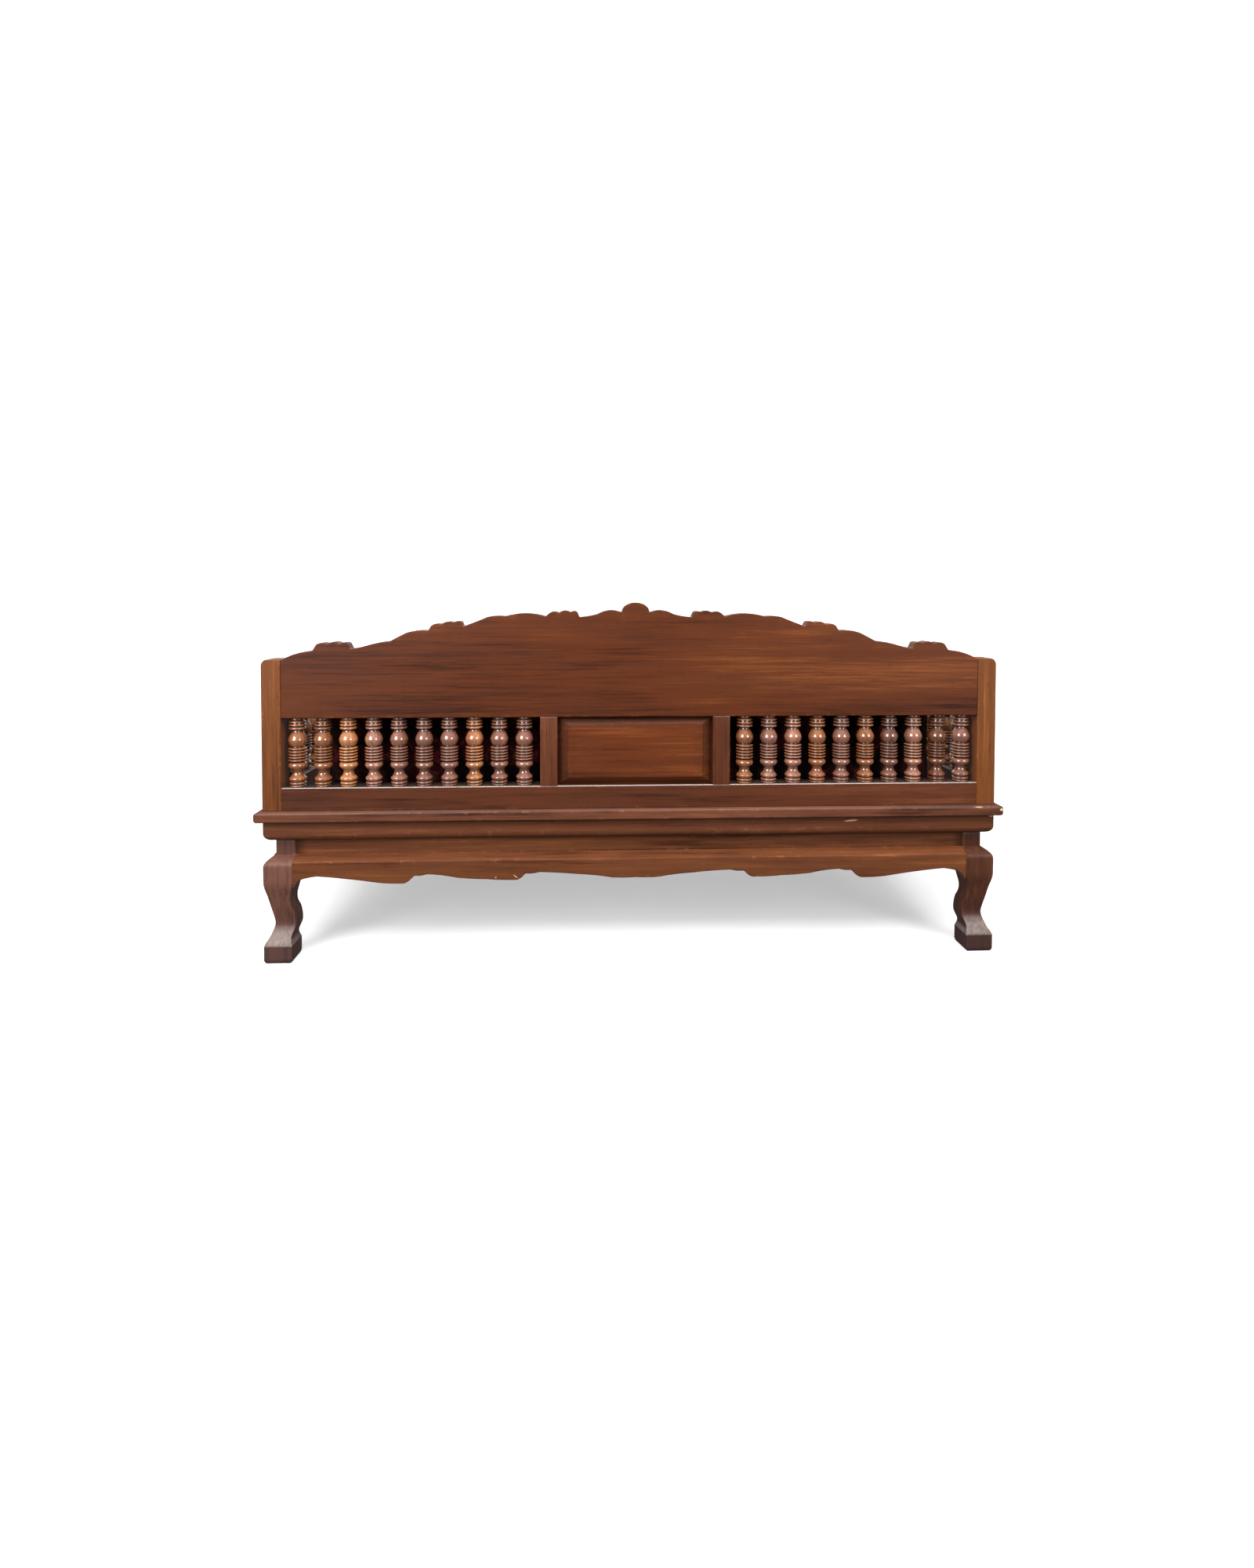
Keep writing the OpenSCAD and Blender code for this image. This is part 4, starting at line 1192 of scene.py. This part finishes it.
@dataclass
class Back:
    """Posts, crest board, lower rail, stiles, raised panel and spindles of the back."""

    near: float = -0.356
    inner: float = 0.931
    outer: float = 0.981
    depth: float = 60 * MM
    seat: float = 406 * MM
    rail: float = 467 * MM
    crest: float = 651 * MM
    post_top: float = 806 * MM
    crest_thick: float = 40 * MM
    panel_half: float = 208 * MM
    stile: float = 46 * MM
    count: int = 10
    ease: float = 2.5 * MM
    corner: float = 17 * MM

    def post(self) -> Shell:
        """Square post whose outer top corner is rounded, drawn for the right side.

        Near the top the outer face moves in as a quarter circle and the other faces are eased.

        Returns:
            The post's shell.
        """
        z = np.concatenate([eased_run(self.seat, self.post_top, self.ease, 0.03)[0],
                            self.post_top - np.array([18, 16, 14, 12, 10, 8, 6, 5, 4, 3.2]) * MM])
        z = np.sort(z)
        rise = z - self.post_top + self.ease
        shrink = np.where(rise > 0, self.ease - np.sqrt(np.maximum(self.ease ** 2 - rise ** 2, 0)), 0.0)
        shrink = np.where(z < self.seat + 1.5 * MM, 0.5 * MM * (z <= self.seat + 0.1 * MM), shrink)
        rise = np.clip(z - (self.post_top - self.corner), 0, self.corner)
        turn = self.corner - np.sqrt(np.maximum(self.corner ** 2 - rise ** 2, 0))
        corners = rectangles(self.inner + shrink + 0.1 * MM, self.near + shrink,
                             self.outer - np.maximum(turn, shrink), self.near + self.depth - shrink)
        loop, worn = rounded_sections(corners, np.full(corners.shape[:2], 2.2 * MM))
        worn = np.maximum(worn, ((z > self.post_top - 6 * MM) * 0.6)[:, None])
        grime = np.repeat(((z < self.seat + 2 * MM) * 0.9)[:, None], worn.shape[1], axis=1)
        return Shell(carried(z, loop, 2), worn, grime)

    def panel(self) -> Shell:
        """Raised panel as rings that step inwards over its bevel, the same on both faces.

        Returns:
            The panel's shell, from the middle of its back to the middle of its front.
        """
        mid_z, half_z = (self.rail + self.crest) / 2, (self.crest - self.rail) / 2
        in_x = MM * np.array([-8, -8, 0, 3, 3.6, 14, 24.5, 25.5, 26, 26.6, 28.5, 60, 170])
        in_z = MM * np.array([-8, -8, 0, 3, 3.6, 11, 17.8, 18.6, 19, 19.6, 21.5, 40, 88])
        rear = MM * np.array([22, 17, 17, 17, 16.8, 12.6, 8.4, 8.2, 7.6, 6.4, 6, 6, 6])
        front = MM * np.array([27, 27, 27, 27.2, 29.4, 31.6, 31.8, 31.9, 32, 32, 32, 32])
        hx = self.panel_half - np.concatenate([in_x[::-1], in_x[1:]])
        hz = half_z - np.concatenate([in_z[::-1], in_z[1:]])
        corners = rectangles(mid_z - hz, -hx, mid_z + hz, hx)
        loop, _ = rounded_sections(corners, np.full(corners.shape[:2], 0.6 * MM), 3)
        wear = np.concatenate([[0, 0, 0.4, 0.5, 0.3, 0.05], np.zeros(len(hx) - 6)])
        # Painted shade: the bevels darken towards the rim, on both faces.
        grime = [0, 0, 0.2, 0.45, 0.48, 0.42, 0.5, 0.7, 0.85, 0.9, 0.9, 0, 0,
                 0, 0.9, 0.9, 0.85, 0.6, 0.35, 0.3, 0.4, 0.4, 0.1, 0, 0]
        deep = self.near + np.concatenate([rear[::-1], front])
        wear, grime = (np.repeat(np.array(v)[:, None], loop.shape[1], axis=1) for v in (wear, grime))
        return Shell(carried(deep, loop, 1), wear, grime)

    def build(self, maker: Maker) -> None:
        """Make the posts, the boards, the panel and then the spindles.

        Args:
            maker: Maker of the pieces.
        """
        post, crest_front = self.post(), self.near + self.crest_thick
        for side in Side:
            name = f"rear_post_{side.name.lower()}"
            maker.piece(name + "_rounded", name, [side.sided(post)], "post_timber", Grain.ALONG_Z,
                        0.35 * side.value, pith=(0.03, 0.05))
        half = crest_half()
        board = WavyBoard(np.vstack([(half * [-1, 1])[:0:-1], half]), self.crest, self.near,
                          self.crest_thick)
        maker.piece("crest_board_carved", "crest_board", [board.shell()], "crest_timber", Grain.ALONG_X,
                    0.0, pith=(0.16, 0.10))
        rail = bar([-self.inner, self.near, self.seat], [self.inner, self.near + self.depth, self.rail],
                   0, 2.0 * MM, 0.8 * MM)
        upper = rail.rings[..., 2] > self.rail - 0.2 * MM
        # Painted shade: the rail's top darkens almost to black behind a strip along its near edge.
        rail.grime = 0.95 * upper * np.clip((rail.rings[..., 1] - self.near - 5 * MM) / (4 * MM), 0, 1)
        maker.piece("back_lower_rail_eased", "back_lower_rail", [rail], "rail_timber", Grain.ALONG_X,
                    -0.1)
        for side in Side:
            x0, x1 = sorted((side.value * self.panel_half, side.value * (self.panel_half + self.stile)))
            name = f"panel_stile_{side.name.lower()}"
            stile = bar([x0, self.near, self.rail], [x1, crest_front, self.crest], 2, 1.8 * MM, 0.7 * MM)
            maker.piece(name + "_eased", name, [stile], "rail_timber", Grain.ALONG_Z, 0.05)
        maker.piece("raised_panel_fielded", "raised_panel", [self.panel()], "panel_timber",
                    Grain.ALONG_X, 0.1, pith=(0.01, 0.04))
        self.build_spindles(maker)

    def build_spindles(self, maker: Maker) -> None:
        """Make the two rows of spindles, each counted from the panel outwards.

        Args:
            maker: Maker of the pieces; it holds the amber stain, 0, and the umber one, 1.
        """
        first = self.panel_half + self.stile + 44 * MM
        pitch = (self.inner - self.panel_half - self.stile - 78 * MM) / (self.count - 1)
        tints = {Side.LEFT: (0.5, -0.5, 0.2, -0.2, 0.4, -0.6, 0.1, 0.6, -0.3, 0.3),
                 Side.RIGHT: (-0.2, 0.5, 0.1, -0.5, 0.3, 0.6, -0.1, 0.4, -0.4, 0.2)}
        stains = {Side.LEFT: (1, 1, 0, 1, 1, 1, 1, 0, 0, 0), Side.RIGHT: (0, 1, 1, 0, 1, 0, 1, 1, 0, 1)}
        for side in Side:
            for index in range(self.count):
                node = f"back_spindle_{side.name[0].lower()}{index + 1:02d}"
                spindle = Spindle(side.value * (first + index * pitch), self.near + 27 * MM)
                maker.piece(node + "_turned", node, [spindle.shell(maker.dice)], "turned_timber",
                            Grain.ALONG_Z, tints[side][index], skin=maker.turned[stains[side][index]])


@dataclass
class Arm:
    """Arm at one end: front post, carved board, lower rail and nine spindles."""

    side: Side
    line: float = 0.956
    inner: float = 0.931
    outer: float = 0.981
    start: float = -0.296
    stop: float = 0.306
    front: float = 0.356
    seat: float = 406 * MM
    rail: float = 467 * MM
    board: float = 651 * MM
    top: float = 726 * MM
    thick: float = 36 * MM
    count: int = 9

    def board_shell(self) -> Shell:
        """Carved arm board: the wavy board drawn along X, then laid along Y on the right side.

        Returns:
            The board's shell.
        """
        edge = np.vstack([
            chain([[0, 786, 4], [60, 778, 2], [150, 752]]),
            lobed_block([151, 752], [160, 768], [232, 762], [244, 748]),
            chain([[245, 747, 6], [330, 738, -1], [430, 716, 6], [552, 708]]), [[552, 708]]])
        edge[:, 0] = edge[:, 0] * (self.stop - self.start) / (552 * MM) + self.start / MM
        shell = WavyBoard(edge, self.board, -self.line - self.thick / 2, self.thick).shell()
        shell.rings = np.stack([-shell.rings[..., 1], shell.rings[..., 0], shell.rings[..., 2]], axis=-1)
        return shell

    def post_shell(self) -> Shell:
        """Front post with a rounded top, its section shrinking as a quarter circle does."""
        z, shrink = eased_run(self.seat, self.top - MM, 9 * MM, 0.03, 8)
        shrink = np.where(z < self.seat + 10 * MM, 0.0, shrink)
        corners = rectangles(self.inner + shrink, self.stop + shrink, self.outer - shrink,
                             self.front - shrink)
        loop, worn = rounded_sections(corners, np.full(corners.shape[:2], 2.4 * MM))
        return Shell(carried(z, loop, 2), np.maximum(worn, (shrink > 0)[:, None] * 0.5))

    def build(self, maker: Maker) -> None:
        """Make the arm's pieces; its spindles, a single piece, take the amber stain.

        Args:
            maker: Maker of the pieces.
        """
        rail = bar([self.inner, self.start, self.seat], [self.outer, self.stop, self.rail], 1,
                   2.0 * MM, 0.6 * MM)
        for node, way, shell, slot, grain, tint in (
                ("arm_post", "rounded", self.post_shell(), "post_timber", Grain.ALONG_Z, 0.1),
                ("arm_board", "carved", self.board_shell(), "crest_timber", Grain.ALONG_Y, 0.1),
                ("arm_lower_rail", "eased", rail, "rail_timber", Grain.ALONG_Y, 0.0)):
            name = f"{node}_{self.side.name.lower()}"
            maker.piece(f"{name}_{way}", name, [self.side.sided(shell)], slot, grain, tint)
        pitch = (self.stop - self.start - 76 * MM) / (self.count - 1)
        shells = [Spindle(self.side.value * self.line, self.start + 38 * MM + i * pitch,
                          around=40).shell(maker.dice) for i in range(self.count)]
        name = f"arm_spindles_{self.side.name.lower()}"
        maker.piece(name + "_turned", name, shells, "turned_timber", Grain.ALONG_Z, -0.2,
                    skin=maker.turned[0])


@dataclass(frozen=True)
class Brocade:
    """Dark crimson furnishing cloth with woven vines and blossoms.

    The vines are the zero line of cos(x) + cos(z), curled by its fourth harmonic, and a blossom
    sits on each crest of that sum; the weave is two crossed sine waves. The rear is a near-black
    lining, which also paints the shade in the gaps between the spindles.
    """

    name: str = "brocade_cloth"
    ground: Rgb = shade(66, 11, 20)
    shadow: Rgb = shade(40, 7, 13)
    leaf: Rgb = shade(110, 62, 46)
    blossom: Rgb = shade(128, 40, 48)
    lining_and_shade: Rgb = shade(6, 2, 3)
    vines_across: float = 70.0
    vines_up: float = 58.0
    threads: float = 5200.0

    def material(self) -> bpy.types.Material:
        """Wire the finish.

        Returns:
            The material.
        """
        g = Graph(self.name)
        at = g.place()
        patch = g.noise(at, 9.0, 2.0)
        colour = g.mix(g.span(patch, 0.46, 0.54), self.shadow, self.ground)
        x, _, z = g.split(at)
        sway = g.times(g.noise(at, 7.0, 2.0), 0.9)
        across = g.total(g.times(x, self.vines_across), sway)
        along = g.total(g.times(z, self.vines_up), sway)
        ogee = g.total(g.math("COSINE", across), g.math("COSINE", along))
        curl = g.times(g.math("COSINE", g.times(across, 4.0)), g.math("COSINE", g.times(along, 4.0)))
        vine = g.math("ABSOLUTE", g.total(ogee, g.times(curl, 0.22)))
        colour = g.mix(g.times(g.span(vine, 0.10, 0.2, 1.0, 0.0), 0.7), colour, self.leaf)
        heart = g.total(ogee, g.times(curl, 0.35))
        colour = g.mix(g.times(g.span(heart, 1.35, 1.5), 0.8), colour, self.blossom)
        weave = g.times(g.math("SINE", g.times(x, self.threads)),
                        g.math("SINE", g.times(z, self.threads)))
        nap = g.noise(at, 700.0)
        colour = g.mix(g.times(g.span(nap, 0.4, 0.8), 0.08), colour, self.leaf)
        # Lining and painted shade: the rear turns, patchily, to a near-black lining that darkens the
        # gaps between the spindles.
        rear = g.span(g.split(g.normal())[1], -0.55, -0.2, 1.0, 0.0)
        colour = g.mix(g.times(rear, g.span(patch, 0.5, 0.62, 0.93, 0.35)), colour, self.lining_and_shade)
        g.surface({"Base Color": colour, "Roughness": g.span(nap, 0.3, 0.7, 0.75, 0.95),
                   "Specular IOR Level": 0.1, "Sheen Weight": 0.05,
                   "Normal": g.bump(g.total(nap, weave), 0.12 * MM)})
        return g.skin


@dataclass
class Cushion:
    """Loose back cushion that stands on the seat: two crowned sheets sewn round a piped seam."""

    name: str
    wide: float = 850 * MM
    tall: float = 330 * MM
    thick: float = 110 * MM
    pull: float = 15 * MM
    cord: float = 3.5 * MM
    gather: float = 40 * MM
    press: float = 14 * MM
    steps: int = 72
    cord_steps: int = 10
    fill: float = 0.7

    def outline(self, u: Array, v: Array) -> tuple[Array, Array]:
        """Flat place of the sheet's point (u, v), each from -1 to 1.

        The sheet is a rectangle whose sides pull in by pull * (1 - w^2) towards the middle of each
        side, and whose corners are rounded by the share k = 0.05 u^4 v^4 taken off both ways.

        Args:
            u: Place across the cushion.
            v: Place up the cushion.

        Returns:
            Distances from the middle, across and up.
        """
        keep = 1 - 0.05 * (u * v) ** 4
        x = u * (self.wide / 2 - self.cord - self.pull * (1 - v ** 2) * u ** 2) * keep
        z = v * (self.tall / 2 - self.cord - 0.8 * self.pull * (1 - u ** 2) * v ** 2) * keep
        return x, z

    def sheets(self, u: Array, v: Array, phase: Array) -> Array:
        """Work out both sheets as bulges of the flat outline.

        Half the thickness at (u, v) is the crown (1 - u^4)^0.55 (1 - v^4)^0.55, less the gathers:
        cosines of the distance along each seam that die out away from it.

        Args:
            u: Places across the cushion.
            v: Places up the cushion.
            phase: Where the six waves of the gathers and the slump start.

        Returns:
            Points from the cushion's middle, as sheet by across by up by three.
        """
        x, z = self.outline(u, v)
        crown = ((1 - u ** 4) * (1 - v ** 4)) ** 0.55
        near_u = np.exp(-(1 - np.abs(u)) * self.wide / 2 / self.gather)
        near_v = np.exp(-(1 - np.abs(v)) * self.tall / 2 / self.gather)
        gathers = (near_v * (np.cos(x * 150 + phase[0] + 2 * np.sin(x * 31 + phase[1]))
                             + 0.5 * np.cos(x * 260 + phase[2]))
                   + near_u * (np.cos(z * 150 + phase[3] + 2 * np.sin(z * 27 + phase[4]))))
        slump = 0.05 * np.cos(x * 9 + phase[5]) * (1 - v)
        half = crown * (self.thick / 2 - 2 * MM) * (0.94 + slump) + crown * 1.1 * MM * (gathers - 2)
        return np.stack([np.stack([x, -half, z], axis=2), np.stack([x, half, z], axis=2)])

    def seam(self, t: Array, middle: Array, floor: float) -> Array:
        """Sweep a round cord along the cushion's outline.

        At each point P of the outline, with n the outward normal, the cord's points lie at
        P + cord * (cos(a) n + sin(a) y), where a goes round in even steps.

        Args:
            t: Places along one side, from -1 to 1.
            middle: Middle of the cushion.
            floor: Height of the seat, which the cord stays above.

        Returns:
            Rings of points, as place by step by three.
        """
        t, one = t[:-1], np.ones(len(t) - 1)
        x, z = self.outline(np.concatenate([t, one, -t, -one]), np.concatenate([-one, t, one, -t]))
        path = middle + np.column_stack([x, 0 * x, z])
        path[:, 2] = np.maximum(path[:, 2], floor + self.cord)
        ahead = np.roll(path, -1, axis=0) - np.roll(path, 1, axis=0)
        ahead /= np.linalg.norm(ahead, axis=1, keepdims=True)
        out = np.cross(ahead, [0.0, 1.0, 0.0])
        a = (np.arange(self.cord_steps) * 2 * np.pi / self.cord_steps)[None, :, None]
        return path[:, None] + self.cord * (np.cos(a) * out[:, None] + np.sin(a) * [0.0, 1.0, 0.0])

    def build(self, maker: Maker, skin: bpy.types.Material, piping: bpy.types.Material) -> None:
        """Sew the cushion and its piping.

        The sheets share their rim. Below the height press the sheets are squeezed towards the seat:
        a rise r over it becomes 0.9 press exp((r - press) / press), plus a tenth of r above it.

        Args:
            maker: Maker whose dice place the gathers.
            skin: Cloth of the sheets.
            piping: Cloth of the cord round the seam.
        """
        low, high = (np.array(corner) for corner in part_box(self.name))
        middle, floor, side = (low + high) / 2, low[2], self.steps + 1
        t = np.sin(np.linspace(-np.pi / 2, np.pi / 2, side))
        u, v = np.meshgrid(t, t, indexing="ij")
        points = middle + self.sheets(u, v, maker.dice.uniform(0, 6.28, 6)).reshape(-1, 3)
        index = np.arange(side ** 2).reshape(side, side)
        inner = np.pad(np.ones((side - 2, side - 2), bool), 1)
        second = np.where(inner, index + side ** 2, index)
        quads = np.vstack([four_sided(index.T), four_sided(second[:, ::-1].T)])
        used, quads = np.unique(quads, return_inverse=True)
        points, quads = points[used], quads.reshape(-1, 4)
        rise = points[:, 2] - floor
        pressed = (0.9 * self.press * np.exp(np.minimum(rise - self.press, 0) / self.press)
                   + 0.1 * np.maximum(rise, 0))
        points[:, 2] = floor + np.where(rise < self.press, pressed, rise)
        sewn = maker.placed(self.name + "_sewn", points, quads.tolist(), skin,
                            self.name)
        cord = self.seam(t, middle, floor)
        at = np.pad(np.arange(cord[..., 0].size).reshape(cord.shape[:2]), ((0, 1), (0, 1)), mode="wrap")
        maker.placed(self.name + "_piping", cord.reshape(-1, 3), four_sided(at.T).tolist(), piping)


@dataclass
class Studio:
    """Pale floor, glowing as painted light, that sweeps up behind the bench, soft lights and the camera.
    """

    eye: tuple[float, float, float] = (-0.1116, -2.4306, 0.9626)
    yaw: float = -0.0425
    pitch: float = -0.0279
    roll: float = 0.0013
    lens: float = 17.9532
    shift_up: float = -0.10345
    glow: float = 0.37
    room: float = 0.14

    def floor(self) -> None:
        """Sweep: flat to 4 m behind the bench, then a quarter circle of 2 m up to a wall; it glows."""
        a = np.linspace(0, np.pi / 2, 24)
        line = np.vstack([[[-9.0, 0.0]], [[4.0, 0.0]],
                          np.column_stack([4 + 2 * np.sin(a[1:]), 2 - 2 * np.cos(a[1:])]), [[6.0, 9.0]]])
        xs = np.array([-12.0, 12.0])
        grid = np.stack([np.repeat(xs[:, None], len(line), 1), np.tile(line[:, 0], (2, 1)),
                         np.tile(line[:, 1], (2, 1))], axis=2)
        index = np.arange(2 * len(line)).reshape(2, -1)
        mesh = bpy.data.meshes.new("sweep")
        mesh.from_pydata(grid.reshape(-1, 3), [], four_sided(index.T).tolist())
        mesh.shade_smooth()
        g = Graph("pale_paper")
        haze = g.ramp(g.noise(g.place(), 0.8, 2.0), ((0.3, (0.78, 0.78, 0.78)), (0.7, (0.8, 0.8, 0.8))))
        # Painted light: the sweep glows, from glow near the bench to white behind it, lifting the
        # bench's shadow on it; it lights nothing else.
        g.surface({"Base Color": haze, "Roughness": 0.9, "Specular IOR Level": 0.1,
                   "Emission Color": (1.0, 1.0, 1.0, 1.0),
                   "Emission Strength": g.span(g.split(g.place())[1], 0.4, 2.4, self.glow, 1.05)})
        mesh.materials.append(g.skin)
        sweep = bpy.data.objects.new("sweep", mesh)
        bpy.context.scene.collection.objects.link(sweep)
        sweep.visible_diffuse = sweep.visible_glossy = False

    def lights(self) -> None:
        """Two soft windows behind the viewer, a wide top light, a weak fill and a dim grey room."""
        for name, at, to, size, power in (
                ("window_left", (-2.3, -3.2, 1.9), (-0.2, 0.0, 0.6), (1.9, 1.9), 112.0),
                ("window_right", (2.9, -4.0, 1.9), (0.0, 0.0, 0.6), (1.7, 1.7), 76.0),
                ("ceiling", (0.0, -2.0, 3.2), (0.0, -0.2, 0.0), (5.0, 2.4), 310.0),
                ("fill", (0.0, 4.2, 2.4), (0.0, 0.0, 0.5), (3.0, 2.0), 28.0)):
            lamp = bpy.data.lights.new(name, "AREA")
            lamp.shape, lamp.energy = "RECTANGLE", power
            lamp.size, lamp.size_y = size
            holder = bpy.data.objects.new(name, lamp)
            aim = (Vector(to) - Vector(at)).to_track_quat("-Z", "Y")
            holder.matrix_world = Matrix.Translation(at) @ aim.to_matrix().to_4x4()
            holder.visible_glossy = name != "ceiling"
            bpy.context.scene.collection.objects.link(holder)
        world = bpy.data.worlds.new("room")
        world.use_nodes = True
        walls = world.node_tree.nodes["Background"].inputs
        walls["Color"].default_value = (1.0, 1.0, 1.0, 1.0)
        walls["Strength"].default_value = self.room
        bpy.context.scene.world = world

    def camera(self) -> None:
        """Stand the camera behind the bench, a little above it and turned slightly downwards."""
        data = bpy.data.cameras.new("viewer")
        data.lens, data.shift_y, data.clip_end = self.lens, self.shift_up, 60.0
        cos, sin = np.cos, np.sin
        look = Vector((-sin(self.yaw) * cos(self.pitch), cos(self.yaw) * cos(self.pitch),
                       sin(self.pitch)))
        holder = bpy.data.objects.new("viewer", data)
        turn = look.to_track_quat("-Z", "Y").to_matrix().to_4x4() @ Matrix.Rotation(self.roll, 4, "Z")
        holder.matrix_world = Matrix.Translation(self.eye) @ turn
        bpy.context.scene.collection.objects.link(holder)
        bpy.context.scene.camera = holder

    def build(self) -> None:
        """Set up the floor, the lights and the camera."""
        self.floor()
        self.lights()
        self.camera()
        bpy.context.scene.view_settings.view_transform = "Standard"


def stained(name: str, *levels: tuple[int, int, int], **rest: object) -> Timber:
    """Choose a timber finish by the screen levels of its dark, middle, light and flamed wood."""
    return Timber(name, *(shade(*level) for level in levels), **rest)


def chip(at: tuple[float, float, float], wide: float, tall: float, turn: float,
         level: tuple[int, int, int], ragged: float = 0.5) -> Scar:
    """Place a chip on a face that looks along Y, by its half width and height and its screen levels."""
    return Scar(at, (wide, 0.02, tall), turn, shade(*level), ragged)


def finishes() -> tuple[dict[str, bpy.types.Material], list[bpy.types.Material]]:
    """Mix every finish on the bench.

    Returns:
        Finishes by slot name, and the amber and umber ones of the spindles.
    """
    timbers = {
        "crest_timber": stained("crest_lacquer", (41, 18, 10), (77, 37, 17), (108, 59, 28), (55, 26, 14),
                                rough=0.42, gleam=0.16, wear=0.3, spread=0.2, flamed=0.3, bands=0.04),
        "post_timber": stained("post_lacquer", (54, 27, 14), (100, 57, 28), (142, 86, 42), (80, 42, 22),
                               rough=0.4, gleam=0.15),
        # Dust and painted sheen: the high dust weight here turns the rail's upward ledge nearly white.
        "rail_timber": stained("rail_lacquer", (39, 19, 11), (75, 39, 23), (106, 60, 36), (57, 29, 19),
                               rough=0.4, dust=1.6),
        "panel_timber": stained("panel_lacquer", (42, 19, 9), (82, 39, 18), (115, 62, 28), (61, 29, 15),
                                rough=0.4, gleam=0.15),
        "seat_timber": stained("seat_lacquer", (48, 25, 16), (92, 53, 36), (130, 78, 53), (72, 42, 31),
                               wear=0.45, gleam=0.3, dust=0.1, scars=(
                                   chip((0.992, -0.374, 0.397), 0.006, 0.004, 0, (206, 176, 132)),
                                   chip((0.93, -0.374, 0.404), 0.010, 0.0015, 0, (176, 140, 104)))),
        "moulding_timber": stained("moulding_lacquer", (48, 25, 15), (96, 54, 34), (134, 82, 50),
                                   (74, 42, 29), rough=0.38, wear=0.3, dust=0.1, clouds=0.12, scars=(
                                       chip((0.972, -0.352, 0.375), 0.007, 0.003, 10, (206, 176, 132)),
                                       chip((0.585, -0.356, 0.366), 0.020, 0.0026, -4,
                                            (186, 146, 116)))),
        "base_timber": stained("base_lacquer", (46, 22, 12), (92, 52, 30), (134, 81, 45), (70, 36, 22),
                               rough=0.38, wear=0.35, dust=0.0, scars=(
                                   chip((-0.32, -0.357, 0.226), 0.008, 0.0012, 35, (196, 160, 120), 0.2),
                                   chip((-0.372, -0.357, 0.224), 0.003, 0.001, -50, (196, 160, 120),
                                        0.2))),
        "leg_timber": stained("leg_lacquer_brown", (32, 16, 11), (68, 38, 27), (98, 58, 40),
                              (54, 30, 23), rough=0.42, dust=0.0, wear=0.3),
        "leg_timber_grey": stained("leg_lacquer_grey", (54, 32, 26), (100, 66, 55), (134, 92, 76),
                                   (80, 52, 46), rough=0.42, dust=0.0, wear=0.3),
    }
    amber = stained("spindle_lacquer_amber", (66, 33, 17), (128, 77, 45), (178, 117, 72),
                    (104, 60, 42), ring=4 * MM, gleam=0.4, coat=1.0, coat_rough=0.06, coat_ior=1.9,
                    wave=0.05 * MM, wear=0.08, dust=0.0)
    umber = replace(amber, name="spindle_lacquer_umber", dark=shade(56, 30, 22), mid=shade(116, 74, 57),
                    light=shade(168, 114, 88), flame=shade(98, 63, 57))
    return ({slot: timber.material() for slot, timber in timbers.items()},
            [amber.material(), umber.material()])


def dress_hidden(frame: dict) -> None:
    """Give the CAD nodes that stay, all under the seat, their finishes.
    """
    batten = RawWood("batten_wood", shade(150, 104, 70), shade(96, 62, 40), (300.0, 8.0, 300.0))
    dowel = RawWood("dowel_beech", shade(206, 174, 130), shade(168, 132, 90), (500.0, 14.0, 500.0))
    for name, skin in (("seat_battens", batten.material()), ("plank_dowels", dowel.material()),
                       ("batten_screws", ScrewSteel().material())):
        node = frame["nodes"][name]
        if not node.material_slots:
            node.data.materials.append(skin)
        for place in node.material_slots:
            place.material = skin
        log.info("%s: kept, finish %s", name, skin.name)


def main() -> None:
    """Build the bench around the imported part."""
    logging.basicConfig(level=logging.INFO, format="%(name)s %(message)s")
    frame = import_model()
    maker = Maker(*finishes())
    for end in End:
        for side in Side:
            Leg(side, end).build(maker)
    for name, turn in (("rear", 2), ("front", 0), ("left", 1), ("right", 3)):
        BaseSide(name, turn).build(maker)
    Seat().build(maker)
    Back().build(maker)
    for side in Side:
        Arm(side).build(maker)
    cloth = Brocade().material()
    piping = Brocade("piping_cloth", shade(70, 20, 24), shade(50, 12, 16)).material()
    for name in ("back_cushion_left", "back_cushion_right"):
        Cushion(name).build(maker, cloth, piping)
    dress_hidden(frame)
    Studio().build()


if __name__ == "__main__":
    main()
